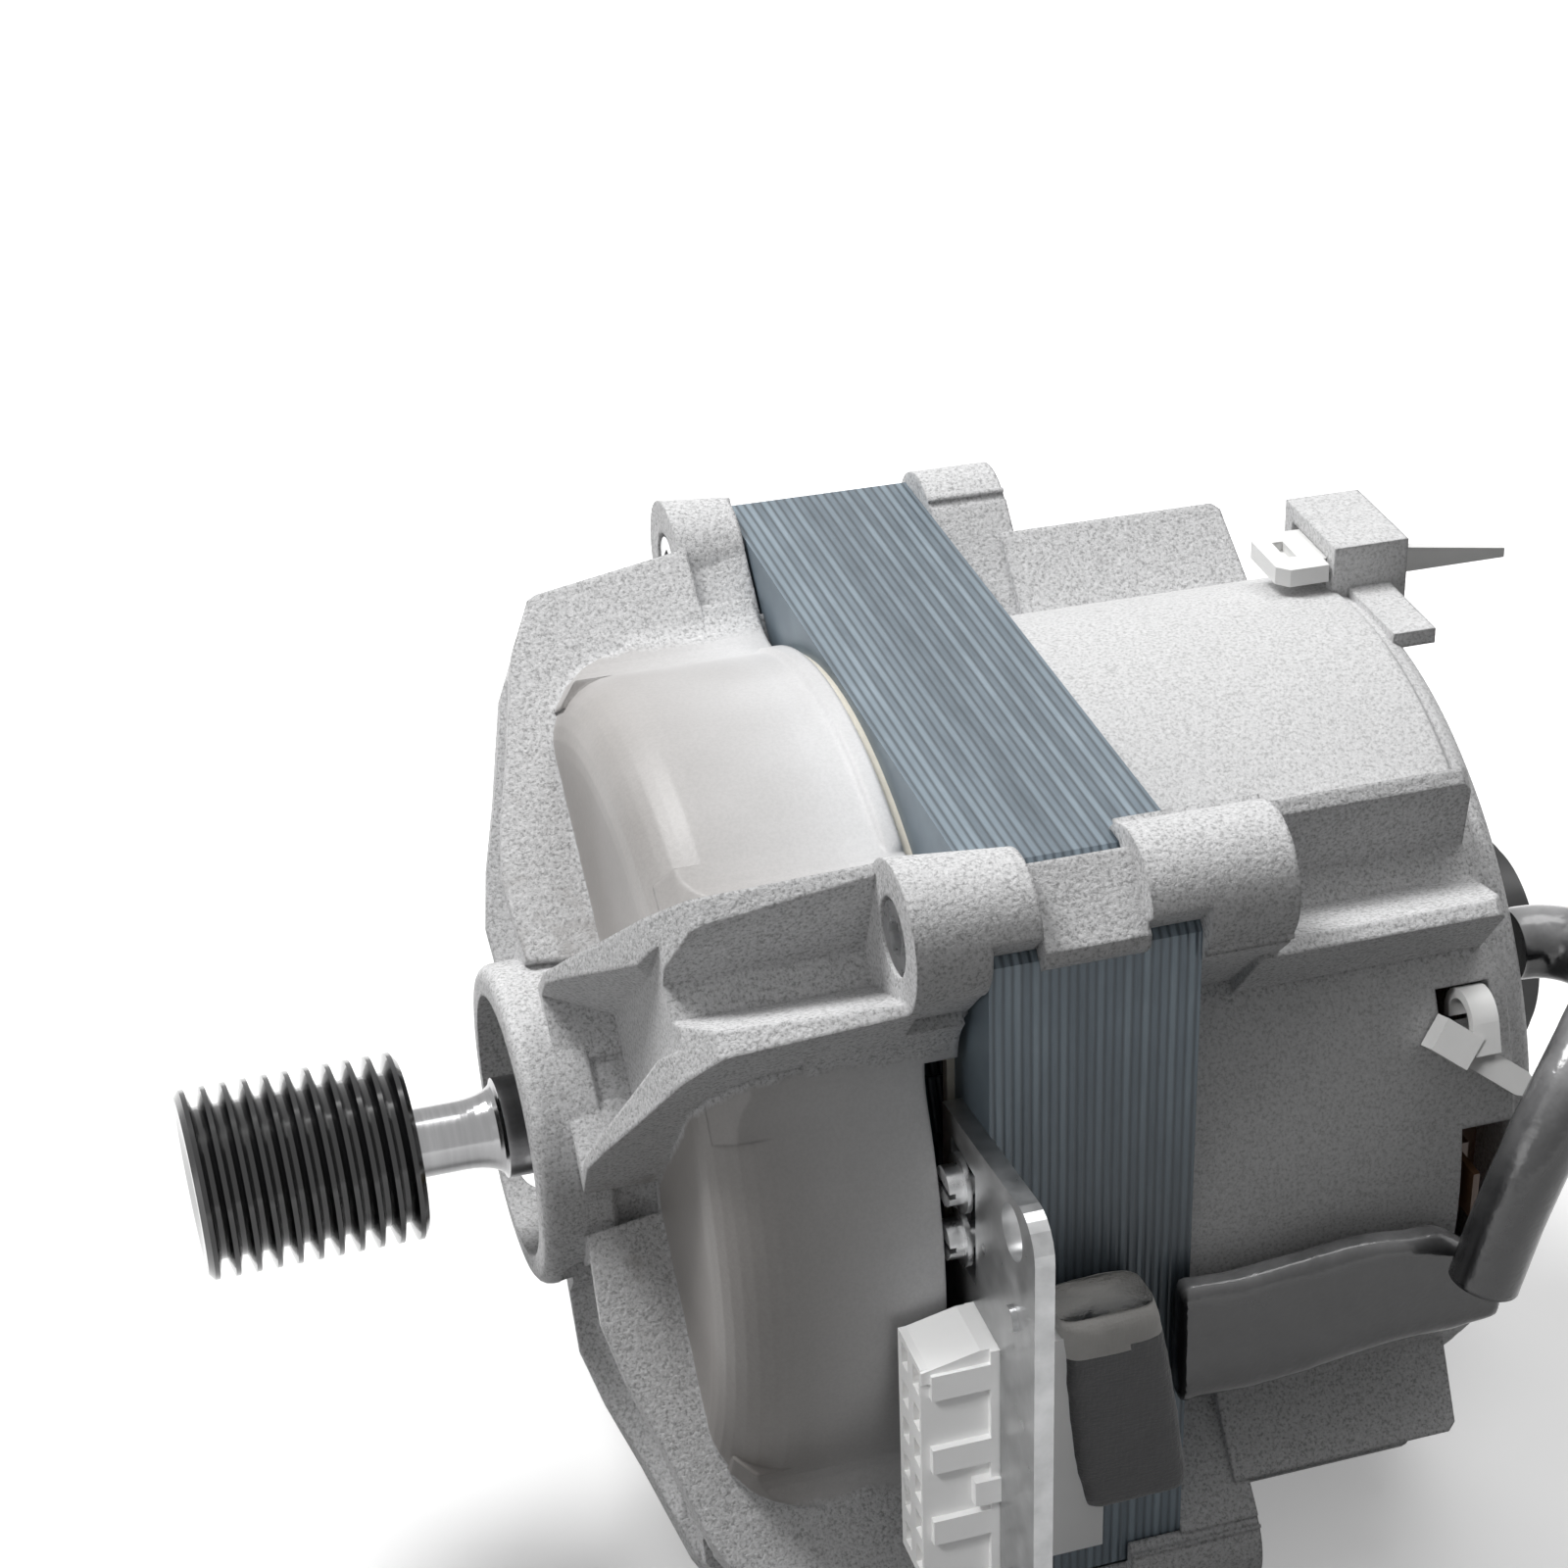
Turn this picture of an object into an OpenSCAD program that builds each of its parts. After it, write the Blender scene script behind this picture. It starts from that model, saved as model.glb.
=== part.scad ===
// Universal brushed motor of a washing machine, belt drive, seen with its pulley towards -X.
// The shaft lies along X. The origin is on the shaft axis, in the plane of the rear boss faces.
// All sizes are in millimetres.

/* [Pulley] */
// Number of belt grooves
groove_count = 10; // [6:1:12]
// Pitch of the belt grooves
groove_pitch = 2.34; // [1.6:0.01:3.2]
// Outer diameter over the groove crests
pulley_d = 22.2; // [20:0.1:30]
// Depth of the grooves
groove_depth = 2.2; // [1.2:0.1:2.6]
// Plain rim at each end of the pulley
pulley_rim = 0.9; // [0.5:0.1:3]
// Free length of shaft between the pulley and the front hub
pulley_gap = 11.4; // [6:0.1:20]

/* [Shaft] */
// Diameter of the shaft nose that carries the pulley
nose_d = 8.2; // [7.4:0.1:10]
// Diameter of the shaft in the front bearing
shaft_d = 12; // [11:0.5:14]
// Length of the concave flare between nose and shaft
flare_len = 4.6; // [3:0.1:7]
// Diameter of the shaft under the rotor stack
core_d = 14; // [12.8:0.1:17]
// Diameter of the shaft tail in the rear bearing
tail_d = 8; // [6:0.5:9]
// Length of the tail behind the rear bearing
tail_out = 8.4; // [7.4:0.1:12]

/* [Stator] */
// Side of the square lamination stack
stack_w = 101.5; // [100.4:0.1:103]
// Length of the lamination stack
stack_len = 23.7; // [20:0.1:34]
// Depth of the winding room between the rotor's bore and the yoke
pole_depth = 5.65; // [4.65:0.1:7.65]
// Air gap between rotor and poles
air_gap = 0.6; // [0.3:0.1:1.2]
// Half width of the pole stems
stem_half = 15.6; // [12:0.1:17]
// Thickness of the insulating frames on the stack's ends
insulator_t = 0.9; // [0.6:0.1:1]
// Height of the field coils along the poles
coil_h = 7; // [5:0.1:7.4]
// Width of the field coils' bundles
coil_w = 10.6; // [8:0.1:11]

/* [Shields] */
// Outer radius of the round shells
bell_r = 50; // [49:0.1:51.5]
// Wall of the castings
wall = 3; // [2.4:0.1:3.4]
// Length of the front shell ahead of the stack
bell_depth = 29.2; // [28:0.1:34]
// Radius of the round edge round the front shell
bell_fillet = 8; // [5:0.1:10]
// Width of the rim band of the front shell
rim_w = 2.4; // [1.6:0.1:4]
// Gap between the front rim and the stack
rim_gap = 1.1; // [1:0.1:1.4]
// Outer diameter of the front hub
hub_d = 38.4; // [37.6:0.1:41]
// How far the front hub stands out of the shell
hub_out = 13.4; // [11:0.1:18]
// Length of the rear shell behind the stack
rear_depth = 43.7; // [42:0.1:48]
// How far the rear hub stands out of the rear wall
rear_hub_out = 9.6; // [9.4:0.1:13]
// Outer diameter of the rear hub
rear_hub_d = 28; // [26.4:0.1:30]
// Number of air slots in the rear wall between the arms
vent_count = 3; // [2:1:4]
// Width of an air slot
vent_w = 3.6; // [2:0.1:4.4]

/* [Corner bosses] */
// Distance between neighbouring clamp screws
screw_pitch = 91.9; // [91:0.1:93]
// Distance from the front boss faces to the stack
boss_lead = 8.7; // [7:0.1:12]
// Length of the front bosses
front_boss_len = 13.9; // [13:0.1:16]
// Outer diameter of the front bosses
front_boss_d = 16.4; // [15:0.1:18]
// Outer diameter of the rear bosses
rear_boss_d = 15.2; // [14:0.1:16.4]
// How far the rear bosses reach forward over the stack
rear_boss_lap = 6.7; // [5:0.1:7.4]
// How far the rear bosses reach behind the stack
rear_boss_back = 9.8; // [9:0.1:14]
// Distance of the rear ribs' edges from the shaft axis
rib_edge = 60.5; // [58:0.1:62]
// Distance of the front ribs' edges from the shaft axis at the bosses
rib_top = 64.2; // [62:0.1:65]
// Thickness of the arms' ribs
rib_t = 2.2; // [1.6:0.1:3]
// Half spacing of the ribs at the bosses
rib_half = 7.4; // [6.4:0.1:7.6]
// Half spacing of the ribs at the hub
rib_hub_half = 11.2; // [10:0.1:12]
// Clamp screw shank diameter
screw_d = 4; // [3.6:0.1:4.4]
// Clamp screw head diameter
head_d = 7.6; // [7:0.1:8.6]
// Diameter of the threaded holes in the rear boss faces
bolt_hole_d = 5; // [4:0.1:6]
// Depth of the threaded holes in the rear boss faces
bolt_hole_depth = 6; // [5:0.1:7]
// Radius of the blend between the front shell and the arms
arm_blend = 9.5; // [5:0.1:10]

/* [Bearings] */
// Front bearing outer diameter
fb_od = 32; // [29:0.5:32]
// Front bearing width
fb_w = 10; // [8:0.5:10.5]
// Rear bearing outer diameter
rb_od = 22; // [19:0.5:22]
// Rear bearing width
rb_w = 7; // [6:0.1:7.2]
// Balls in each bearing
ball_count = 8; // [6:1:8]

/* [Rotor] */
// Rotor stack diameter
rotor_d = 63; // [61:0.1:63.2]
// Slots of the rotor stack
slot_count = 24; // [12:1:24]
// Commutator diameter
comm_d = 30; // [26:0.1:32]
// Commutator bars
bar_count = 24; // [12:1:36]
// Commutator length
comm_len = 17; // [14.5:0.1:17.4]
// Fan diameter
fan_d = 82; // [70:0.5:84]
// Fan blades
blade_count = 12; // [7:1:14]
// Depth of the fan blades
blade_depth = 5.6; // [4:0.1:5.8]

/* [Brush gear] */
// Width of a brush along the shaft
brush_w = 10; // [7:0.1:11]
// Thickness of a brush across the shaft
brush_t = 6; // [5.8:0.1:8]
// Length of a new brush
brush_len = 18; // [14:0.1:19]
// Wall of the brush box
box_wall = 1.3; // [1:0.1:1.8]
// Wire of the brush springs
spring_wire = 0.7; // [0.4:0.05:0.8]
// Turns of a brush spring
spring_turns = 6; // [4:1:7]

/* [Speed sensor] */
// Magnet ring diameter
magnet_d = 18; // [14:0.1:18.6]
// Magnet ring length
magnet_len = 6; // [4:0.1:6.4]
// Wall of the sensor cap
cap_wall = 1.4; // [1:0.1:1.8]

/* [Connector] */
// Thickness of the connector bracket's sheet
sheet_t = 2.2; // [1.6:0.1:2.4]
// Reach of the bracket beyond the side of the stack or shell
bracket_out = 20.65; // [19.25:0.1:23.25]
// Height of the bracket's top edge above the shaft axis
bracket_top = 24.4; // [23.4:0.1:26]
// Height of the whole bracket
bracket_h = 61.4; // [60:0.1:66]
// Diameter of the round hole in the bracket
bracket_hole_d = 6.4; // [4:0.1:7]
// Depth of the connector across the motor's side
plug_w = 9; // [8:0.1:10]
// Height of the connector
plug_h = 33; // [31:0.1:34]
// Contact rows of the connector
row_count = 6; // [4:1:6]
// How far the connector stands out ahead of the bracket
plug_front = 8.7; // [8:0.1:12]
// How far the connector reaches behind the bracket
plug_back = 10.5; // [9:0.1:13]

/* [Harness] */
// Thickness of the flat sleeve
sleeve_t = 4.8; // [3.4:0.1:6]
// Height of the flat sleeve at the boot
sleeve_h = 17.5; // [14:0.1:19]
// Outer diameter of the round sleeve
tube_d = 8.6; // [7:0.1:9]
// Width of the cable ties
tie_w = 4.4; // [3.6:0.1:4.8]
// Thickness of the cable ties
tie_t = 1.2; // [1:0.1:1.4]
// Width of the cast cable guide
guide_w = 15; // [13:0.1:18]
// Height of the cable guide's opening
guide_gap = 3.8; // [3:0.1:4.4]

/* [Hidden] */

$fn = 96;
small_fn = 40;
// Clearance between pieces that only lie against each other
seat = 0.2;
// Running clearance of the balls in their races
ball_play = 0.04;
// Running clearance between a brush and the walls of its box
brush_play = 0.1;
// Clearance between the brush tips and the commutator
brush_tip_gap = 0.1;
// Clearance of a clamp screw in the bosses and beside the stack
screw_play = 0.1;

root2 = sqrt(2);
near = -1;
far = 1;

stack_half = stack_w / 2;
stack_rear = -rear_boss_back;
stack_front = stack_rear - stack_len;
boss_front = stack_front - boss_lead;
bell_front = stack_front - bell_depth;
hub_front = bell_front - hub_out;
hub_r = hub_d / 2;
bell_in = bell_r - wall;
rear_wall_out = stack_rear + rear_depth;
rear_wall_in = rear_wall_out - wall;
rear_hub_end = rear_wall_out + rear_hub_out;

corner_d = screw_pitch / root2;
screw_r = screw_d / 2;
stack_cut = corner_d + 1.3;
front_boss_end = boss_front + front_boss_len;
rear_boss_front = stack_rear - rear_boss_lap;
rear_boss_end = 0;
screw_stop = rear_boss_end - bolt_hole_depth - 2;
rib_lean = atan((rib_hub_half - rib_half) / (rib_edge - 15));
rib_front = bell_front - 9.4;
rib_break = bell_front + 1.8;
rear_rib_end = rear_wall_out - 6.6;

pulley_r = pulley_d / 2;
pulley_rear = hub_front - pulley_gap;
pulley_front = pulley_rear - groove_count * groove_pitch - 2 * pulley_rim;

fb_front = bell_front - 1.2;
fb_rear = fb_front + fb_w;
fb_r = fb_od / 2;
rb_front = rear_wall_out + 1.5;
rb_rear = rb_front + rb_w;
rb_r = rb_od / 2;
washer_t = 0.6;
shaft_r = shaft_d / 2;
core_r = core_d / 2;
tail_r = tail_d / 2;
tail_end = rb_rear + tail_out;

rotor_r = rotor_d / 2;
bore_r = rotor_r + air_gap;
comm_r = comm_d / 2;
comm_rear = rear_wall_in - 2.1;
comm_front = comm_rear - comm_len;
fan_rear = fb_rear + 2.4 + blade_depth;

yoke_in = bore_r + pole_depth;
stem_top = yoke_in + 0.4;
coil_base = bore_r - 2.6;
coil_top = coil_base + coil_h;
shoe_half = bore_r - 5.6;
coil_in_half = stem_half + 0.9;
coil_out_half = coil_in_half + coil_w;
coil_room = 0.6;
coil_front = stack_front - insulator_t - coil_w;
coil_rear = stack_rear + insulator_t + coil_w;

brush_x = comm_rear - comm_len / 2;
box_in = comm_r + 1.8;
box_out = bell_in - 1.1;
brush_out = comm_r + brush_tip_gap + brush_len;
spring_out = box_out - box_wall;
spring_r = brush_t / 2 - 0.6;

sheet_rear = stack_front;
sheet_front = sheet_rear - sheet_t;
bracket_in = 41.4;
side_face = max(bell_r, stack_half);
plug_far = side_face + 0.5;
bracket_reach = side_face + bracket_out;
plug_near = plug_far + plug_w;
plug_top = 1;
plug_bottom = plug_top - plug_h;
plug_nose = sheet_front - plug_front;
plug_tail = sheet_rear + plug_back;
boot_front = sheet_rear + 5;
boot_rear = boot_front + 15.8;
boot_wall = 1.1;
tie_lean = 21;
tie_x = rear_wall_out - 11.4;
tie_strap_w = 3;
lap_side = 4.2;
row_pitch = plug_h / (row_count + 0.4);

guide_x = rear_wall_out - 4;
guide_len = 9.6;
guide_y = 6.6;
guide_floor = bell_r - 0.6;
guide_top = guide_floor + guide_gap + 2;

// Turns a shape drawn along Z into one along X, with its base at x
module along_x(x = 0) {
    translate([x, 0, 0]) rotate([0, 90, 0]) children();
}

// A ring or disc on the shaft axis from x0 to x1
module x_ring(x0, x1, outer, inner = 0) {
    along_x(x0) difference() {
        cylinder(h = x1 - x0, r = outer);
        if (inner > 0) translate([0, 0, -1]) cylinder(h = x1 - x0 + 2, r = inner);
    }
}

// A pin or a hole on the shaft axis from x0 to x1
module x_pin(x0, x1, r) {
    along_x(x0) cylinder(h = x1 - x0, r = r);
}

// A box from corner a to corner b
module block(a, b) {
    translate(a) cube(b - a);
}

// The four corners: local X along the shaft, Y outward on the diagonal, Z across it
module corners() {
    for (k = [0 : 3]) rotate([45 + 90 * k, 0, 0]) children();
}

// A cylinder parallel to the shaft on a corner's screw axis
module corner_pin(x0, x1, r) {
    translate([0, corner_d, 0]) x_pin(x0, x1, r);
}

// Points of a quarter arc of radius r about c, from angle a0 to a1
function arc(c, r, a0, a1, n = 8) = [
    for (i = [0 : n]) c + r * [cos(a0 + (a1 - a0) * i / n), sin(a0 + (a1 - a0) * i / n)]
];

// Square of the stack sheets grown by a clearance, its two near corners cut off
module stack_square(grow = 0) {
    difference() {
        square(stack_w + 2 * grow, center = true);
        for (a = [-45, -135]) rotate(a) translate([stack_cut + grow, -20]) square([20, 40]);
    }
}

// Outline of a stack sheet without its window, notched or drilled for the clamp screws
module stack_outline() {
    difference() {
        stack_square();
        for (k = [0 : 3]) rotate(45 + 90 * k) translate([corner_d, 0]) circle(r = screw_r + screw_play);
    }
}

// Window of a stack sheet, with the two poles left standing
module stack_window() {
    difference() {
        offset(r = 3) square([2 * stem_top - 6, 2 * yoke_in - 6], center = true);
        for (s = [-1, 1]) scale([s, 1]) difference() {
            union() {
                translate([coil_base - 2, -stem_half]) square([stem_top, 2 * stem_half]);
                translate([0, -shoe_half]) square([coil_base - 0.3, 2 * shoe_half]);
            }
            circle(r = bore_r);
        }
    }
}

// Local 2D x of the sheet is up (Z), local y is across the motor (Y)
module sheet(x0, x1) {
    translate([x0, 0, 0]) rotate([0, -90, 0]) mirror([0, 0, 1])
        linear_extrude(height = x1 - x0) children();
}

module stator_stack() {
    color("slategray") sheet(stack_front, stack_rear) difference() {
        stack_outline();
        stack_window();
    }
}

// Insulating frame on one end of the stack, inside radius r and clear of the corner roots
module insulator(x0, x1, r) {
    sheet(x0, x1) difference() {
        intersection() {
            square([2 * stack_half, 2 * (yoke_in + 1.4)], center = true);
            circle(r = r);
        }
        stack_window();
        for (k = [0 : 3]) rotate(45 + 90 * k) translate([bell_in - 2.4, -front_boss_d / 2 - 0.4])
            square([10, front_boss_d + 0.8]);
    }
}

module insulator_front() {
    color("wheat") insulator(stack_front - insulator_t, stack_front, bell_r - 0.3);
}

module insulator_rear() {
    color("wheat") insulator(stack_rear, stack_rear + insulator_t, bell_in - 0.3);
}

// Field coil round one pole, a closed bundle with rounded corners
module field_coil(s) {
    inner_x0 = stack_front - insulator_t;
    inner_x1 = stack_rear + insulator_t;
    mirror([0, 0, s < 0 ? 1 : 0]) intersection() {
        translate([0, 0, coil_base]) linear_extrude(height = coil_h) difference() {
            hull() for (x = [coil_front + 6, coil_rear - 6], y = [-coil_out_half + 6, coil_out_half - 6])
                translate([x, y]) circle(r = 6);
            translate([inner_x0, -coil_in_half]) square([inner_x1 - inner_x0, 2 * coil_in_half]);
        }
        x_pin(coil_front - 1, coil_rear + 1, bell_in - coil_room);
    }
}

module field_coil_upper() {
    color("peru") field_coil(1);
}

module field_coil_lower() {
    color("peru") field_coil(-1);
}

// Profile of the front shell and its hub, radius over axial place
function front_profile() = concat(
    [[0, hub_front], [hub_r - 1.6, hub_front]],
    arc([hub_r - 1.6, hub_front + 1.6], 1.6, -90, 0, 4),
    [[hub_r, bell_front - 5.4], [hub_r - 1.5, bell_front - 4.4], [hub_r - 1.5, bell_front]],
    arc([bell_r - bell_fillet, bell_front + bell_fillet], bell_fillet, -90, 0),
    [[bell_r, stack_front - rim_gap - rim_w], [bell_r + 0.6, stack_front - rim_gap - rim_w + 0.6],
     [bell_r + 0.6, stack_front - rim_gap], [0, stack_front - rim_gap]]
);

// Space inside the front shell
function front_inside() = concat(
    [[0, bell_front + wall]],
    arc([bell_in - bell_fillet + wall, bell_front + bell_fillet], bell_fillet - wall, -90, 0),
    [[bell_in, stack_front + 1], [0, stack_front + 1]]
);

// Half of an arm from its outer face inward, leaning from the hub to the boss
module arm_half(points, edge, thick) {
    for (s = [-1, 1]) scale([1, 1, s]) translate([0, edge, rib_half + rib_t / 2]) rotate([-rib_lean, 0, 0])
        translate([0, -edge, -thick]) linear_extrude(height = thick) polygon(points);
}

function front_rib_points() = [
    [rib_front + 0.6, hub_r - 3], [rib_front, 26.5], [rib_front + 1.5, 33.5], [rib_front + 4, 41.7],
    [rib_front + 7.3, 54], [rib_break - 0.6, 60.4], [rib_break + 0.6, 61], [boss_front + 1, rib_top],
    [boss_front + 1, bell_in], [bell_front + 1, 15]
];

// Trough between an arm's ribs: sloping walls, a narrow floor along the shell and down its front
module arm_trough() {
    floor_d = bell_r + 2.4;
    lip = rib_half - 0.2;
    translate([bell_front - 20, 0, 0]) rotate([0, 90, 0]) linear_extrude(height = boss_front + 1.2 - bell_front + 20)
        polygon([[-2, floor_d], [2, floor_d], [lip, rib_top + 0.4], [lip, 80], [-lip, 80], [-lip, rib_top + 0.4]]);
    for (s = [-1, 1]) scale([1, 1, s]) translate([0, rib_edge, 0]) rotate([-rib_lean, 0, 0])
        translate([0, hub_r - 0.6 - rib_edge, 0]) rotate([-90, 0, 0]) linear_extrude(height = 60)
            polygon([[bell_front - 1.4, 6], [bell_front - 1.4, -3.4], [rib_front, -lip], [hub_front - 50, -lip],
                     [hub_front - 50, 6]]);
}

// Concave blends from the round shell up the arm's outer faces
module arm_blends() {
    face = rib_half + rib_t / 2 + 0.2;
    c_t = face + arm_blend;
    c_d = sqrt(pow(bell_r + arm_blend, 2) - pow(c_t, 2));
    foot = bell_in / (bell_r + arm_blend);
    intersection() {
        for (s = [0, 1]) mirror([0, 0, s]) translate([bell_front, 0, 0]) rotate([0, 90, 0])
            linear_extrude(height = stack_front - rim_gap - bell_front) polygon(concat(
                [[face - 4, bell_in], [face - 4, c_d]],
                arc([c_t, c_d], arm_blend, 180, 180 + atan(c_d / c_t), 7),
                [[foot * c_t, foot * c_d]]
            ));
        along_x() rotate_extrude() polygon(concat(
            [[0, bell_front], [bell_r - bell_fillet, bell_front]],
            arc([bell_r - bell_fillet, bell_front + bell_fillet + 3], bell_fillet + 3, -90, 0, 6),
            [[bell_r + 12, bell_front + bell_fillet + 6], [bell_r + 12, stack_front], [0, stack_front]]
        ));
    }
}

// Solid root that fills the arm under a boss, so that it can seat on the stack
module boss_root(x0, x1, half) {
    block([x0, bell_in - 2, -half], [x1, corner_d, half]);
}

// Front boss, tapering to its rear end over the stack
module front_boss() {
    translate([boss_front, corner_d, 0]) along_x() cylinder(h = front_boss_len, r1 = front_boss_d / 2, r2 = front_boss_d / 2 - 1.1);
}

module front_shield() {
    color("silver") difference() {
        union() {
            difference() {
                union() {
                    along_x() rotate_extrude() polygon(front_profile());
                    corners() {
                        difference() {
                            arm_half(front_rib_points(), rib_edge, rib_hub_half + rib_t);
                            arm_trough();
                        }
                        arm_blends();
                        boss_root(boss_front, stack_front + 0.5, front_boss_d / 2 - 0.9);
                        front_boss();
                    }
                }
                along_x() rotate_extrude() polygon(front_inside());
                front_stack_pocket();
            }
            x_pin(bell_front + 0.5, fb_rear + 0.8, hub_r + 0.6);
        }
        x_pin(hub_front - 1, fb_front - 1, hub_r - 3.6);
        x_pin(fb_front - 2, fb_front + 1, fb_r - 3);
        x_pin(fb_front, fb_rear + 2, fb_r);
        corners() {
            corner_pin(boss_front - 1, front_boss_end + 1, screw_r + screw_play);
            corner_pin(boss_front - 1, boss_front + 4.4, head_d / 2 + 0.5);
            block([stack_front - 0.4, corner_d - 10, lap_side], [front_boss_end + 1, corner_d + 12, front_boss_d]);
        }
        hub_windows();
        bracket_gap();
    }
}

// The stack's own space, kept clear of the front castings
module front_stack_pocket() {
    sheet(stack_front, front_boss_end + 2) stack_square(seat);
    far_corner_cuts(stack_front, front_boss_end + 1);
    x_pin(stack_front, front_boss_end + 2, bell_in);
}

// Keeps the bosses off the top and bottom flats at the two far corners
module far_corner_cuts(x0, x1) {
    for (k = [0, 1]) mirror([0, 0, k]) block([x0, 20, stack_half - 1], [x1, stack_half + 12, stack_half + 12]);
}

// Air windows through the hub wall inside the two lower arms
module hub_windows() {
    for (k = [2, 3]) rotate([45 + 90 * k, 0, 0]) {
        for (z = [-2.6, 2.6]) translate([hub_front + 5.6, 10, z]) rotate([-90, 0, 0]) cylinder(h = 12, r = 3.4);
        block([hub_front + 2.2, 10, -2.6], [hub_front + 9, 22, 2.6]);
    }
}

// Gap in the front rim where the connector bracket reaches the stack
module bracket_gap() {
    block([stack_front - sheet_t - 2.6, -bell_r - 2, -27], [stack_front + 1, -bracket_in + 3, 28]);
}

// Profile of the rear shell and its hub
function rear_profile() = concat(
    [[0, stack_rear], [bell_r, stack_rear], [bell_r, rear_wall_out - 3.6], [bell_r - 0.7, rear_wall_out - 3]],
    arc([bell_r - 3.4, rear_wall_out - 2.7], 2.7, 0, 90, 5),
    [[rear_hub_d / 2 + 3, rear_wall_out], [rear_hub_d / 2, rear_wall_out + 3], [rear_hub_d / 2, rear_hub_end],
     [0, rear_hub_end]]
);

function rear_inside() = [
    [0, stack_rear - 1], [bell_in, stack_rear - 1], [bell_in, rear_wall_in - 3],
    [bell_in - 3, rear_wall_in], [0, rear_wall_in]
];

function rear_rib_points() = [
    [rear_boss_end - 2, bell_in - 2], [rear_boss_end - 2, rib_edge], [rear_rib_end - 1, rib_edge],
    [rear_rib_end, rib_edge - 1], [rear_rib_end + 1.2, bell_in - 2]
];

// Trough between the ribs of a rear arm
module rear_trough() {
    floor_d = bell_r + 2.4;
    lip = rib_half - 0.4;
    translate([rear_boss_end, 0, 0]) rotate([0, 90, 0]) linear_extrude(height = rear_wall_out)
        polygon([[-2, floor_d], [2, floor_d], [lip, rib_edge + 0.4], [lip, 80], [-lip, 80], [-lip, rib_edge + 0.4]]);
}

// Tongue that bridges the stack's cut corner and carries the clamp screw
module tongue() {
    top = corner_d + 4.6;
    base = stack_cut + seat;
    translate([front_boss_end + seat, 0, 0]) rotate([0, 90, 0]) linear_extrude(height = rear_boss_front - front_boss_end + 2)
        polygon([[4.1, base], [4.1, top], [-5.6, top], [-6.6, top - 1.2], [-6.6, base]]);
}

// Rear boss with the saddle that laps over the stack's corner
module rear_boss() {
    saddle = rear_boss_d / 2 + 0.4;
    corner_pin(rear_boss_front, rear_boss_end, rear_boss_d / 2);
    block([rear_boss_front, stack_cut + seat, -saddle], [rear_boss_end, corner_d + 1, saddle]);
    boss_root(stack_rear, rear_boss_end, saddle);
}

module rear_shield() {
    color("gainsboro") difference() {
        union() {
            difference() {
                union() {
                    along_x() rotate_extrude() polygon(rear_profile());
                    corners() {
                        difference() {
                            arm_half(rear_rib_points(), rib_edge, rib_half + rib_t);
                            rear_trough();
                        }
                        rear_boss();
                    }
                    for (k = [1, 2]) rotate([45 + 90 * k, 0, 0]) tongue();
                }
                along_x() rotate_extrude() polygon(rear_inside());
                rear_stack_pocket();
            }
            cable_guide();
            x_pin(rear_wall_in - 1.5, rear_wall_out, rear_hub_d / 2);
        }
        guide_opening();
        x_pin(rear_wall_in - 2, rear_hub_end + 1, tail_r + 3.4);
        x_pin(rb_front - washer_t, rear_hub_end + 1, rb_r);
        corners() {
            corner_pin(boss_front, screw_stop, screw_r + screw_play);
            corner_pin(rear_boss_end - bolt_hole_depth, rear_boss_end + 1, bolt_hole_d / 2);
            block([rear_boss_front - 0.01, corner_d - 10, lap_side], [stack_rear, corner_d + 12, front_boss_d]);
        }
        rear_vents();
        brush_windows();
        for (s = [near, far], z = [-1, 1]) brush_screw_axis(s, z) cylinder(h = wall + 4, r = 1.6, center = true);
        tie_hole();
    }
}

module rear_stack_pocket() {
    sheet(front_boss_end - 1, stack_rear) stack_square(seat);
    far_corner_cuts(front_boss_end - 1, stack_rear);
    x_pin(front_boss_end - 1, stack_rear, bell_in);
}

// Radial air slots through the rear wall, above and below the hub
module rear_vents() {
    x0 = rear_wall_in - 5;
    for (a = [90, 270], i = [0 : vent_count - 1]) rotate([a + (i - (vent_count - 1) / 2) * 20, 0, 0]) {
        block([x0, 22, -vent_w / 2], [x0 + wall + 8, 38, vent_w / 2]);
        for (r = [22, 38]) translate([x0, r, 0]) rotate([0, 90, 0]) cylinder(h = wall + 8, r = vent_w / 2, $fn = small_fn);
    }
}

// Windows in the shell beside the brush boxes
module brush_windows() {
    for (s = [near, far]) scale([1, s, 1])
        block([rear_wall_in - 7, bell_in - 4, -9], [rear_wall_in, bell_r + 2, 9]);
}

// Small slot in the shell that the side cable tie passes through
module tie_hole() {
    rotate([-tie_lean, 0, 0]) block([tie_x - 0.6, -bell_r - 1, tie_strap_w / 2 + 1.5], [tie_x + 6, -bell_in + 4, 7.6]);
}

// Square cast loop on the rear shell that guides the harness
module cable_guide() {
    block([guide_x + 2, guide_y - 13.2, guide_floor - 1.4], [guide_x + 7.4, guide_y + guide_w, guide_floor + 0.5]);
    block([guide_x, guide_y, guide_floor - 2.4], [guide_x + guide_len, guide_y + guide_w, guide_top]);
}

module guide_opening() {
    block([guide_x - 12, guide_y + 2.2, guide_floor], [guide_x + guide_len + 1, guide_y + guide_w - 2.2, guide_floor + guide_gap]);
}

// Clamp screws with hexagon sockets, a group of four
module clamp_screws() {
    color("lightgray") corners() difference() {
        union() {
            corner_pin(boss_front + 0.2, boss_front + 4.4, head_d / 2);
            corner_pin(boss_front + 4.2, screw_stop - 0.4, screw_r);
        }
        translate([0, corner_d, 0]) along_x(boss_front - 0.5) cylinder(h = 3.2, r = 2.3, $fn = 6);
    }
}

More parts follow.
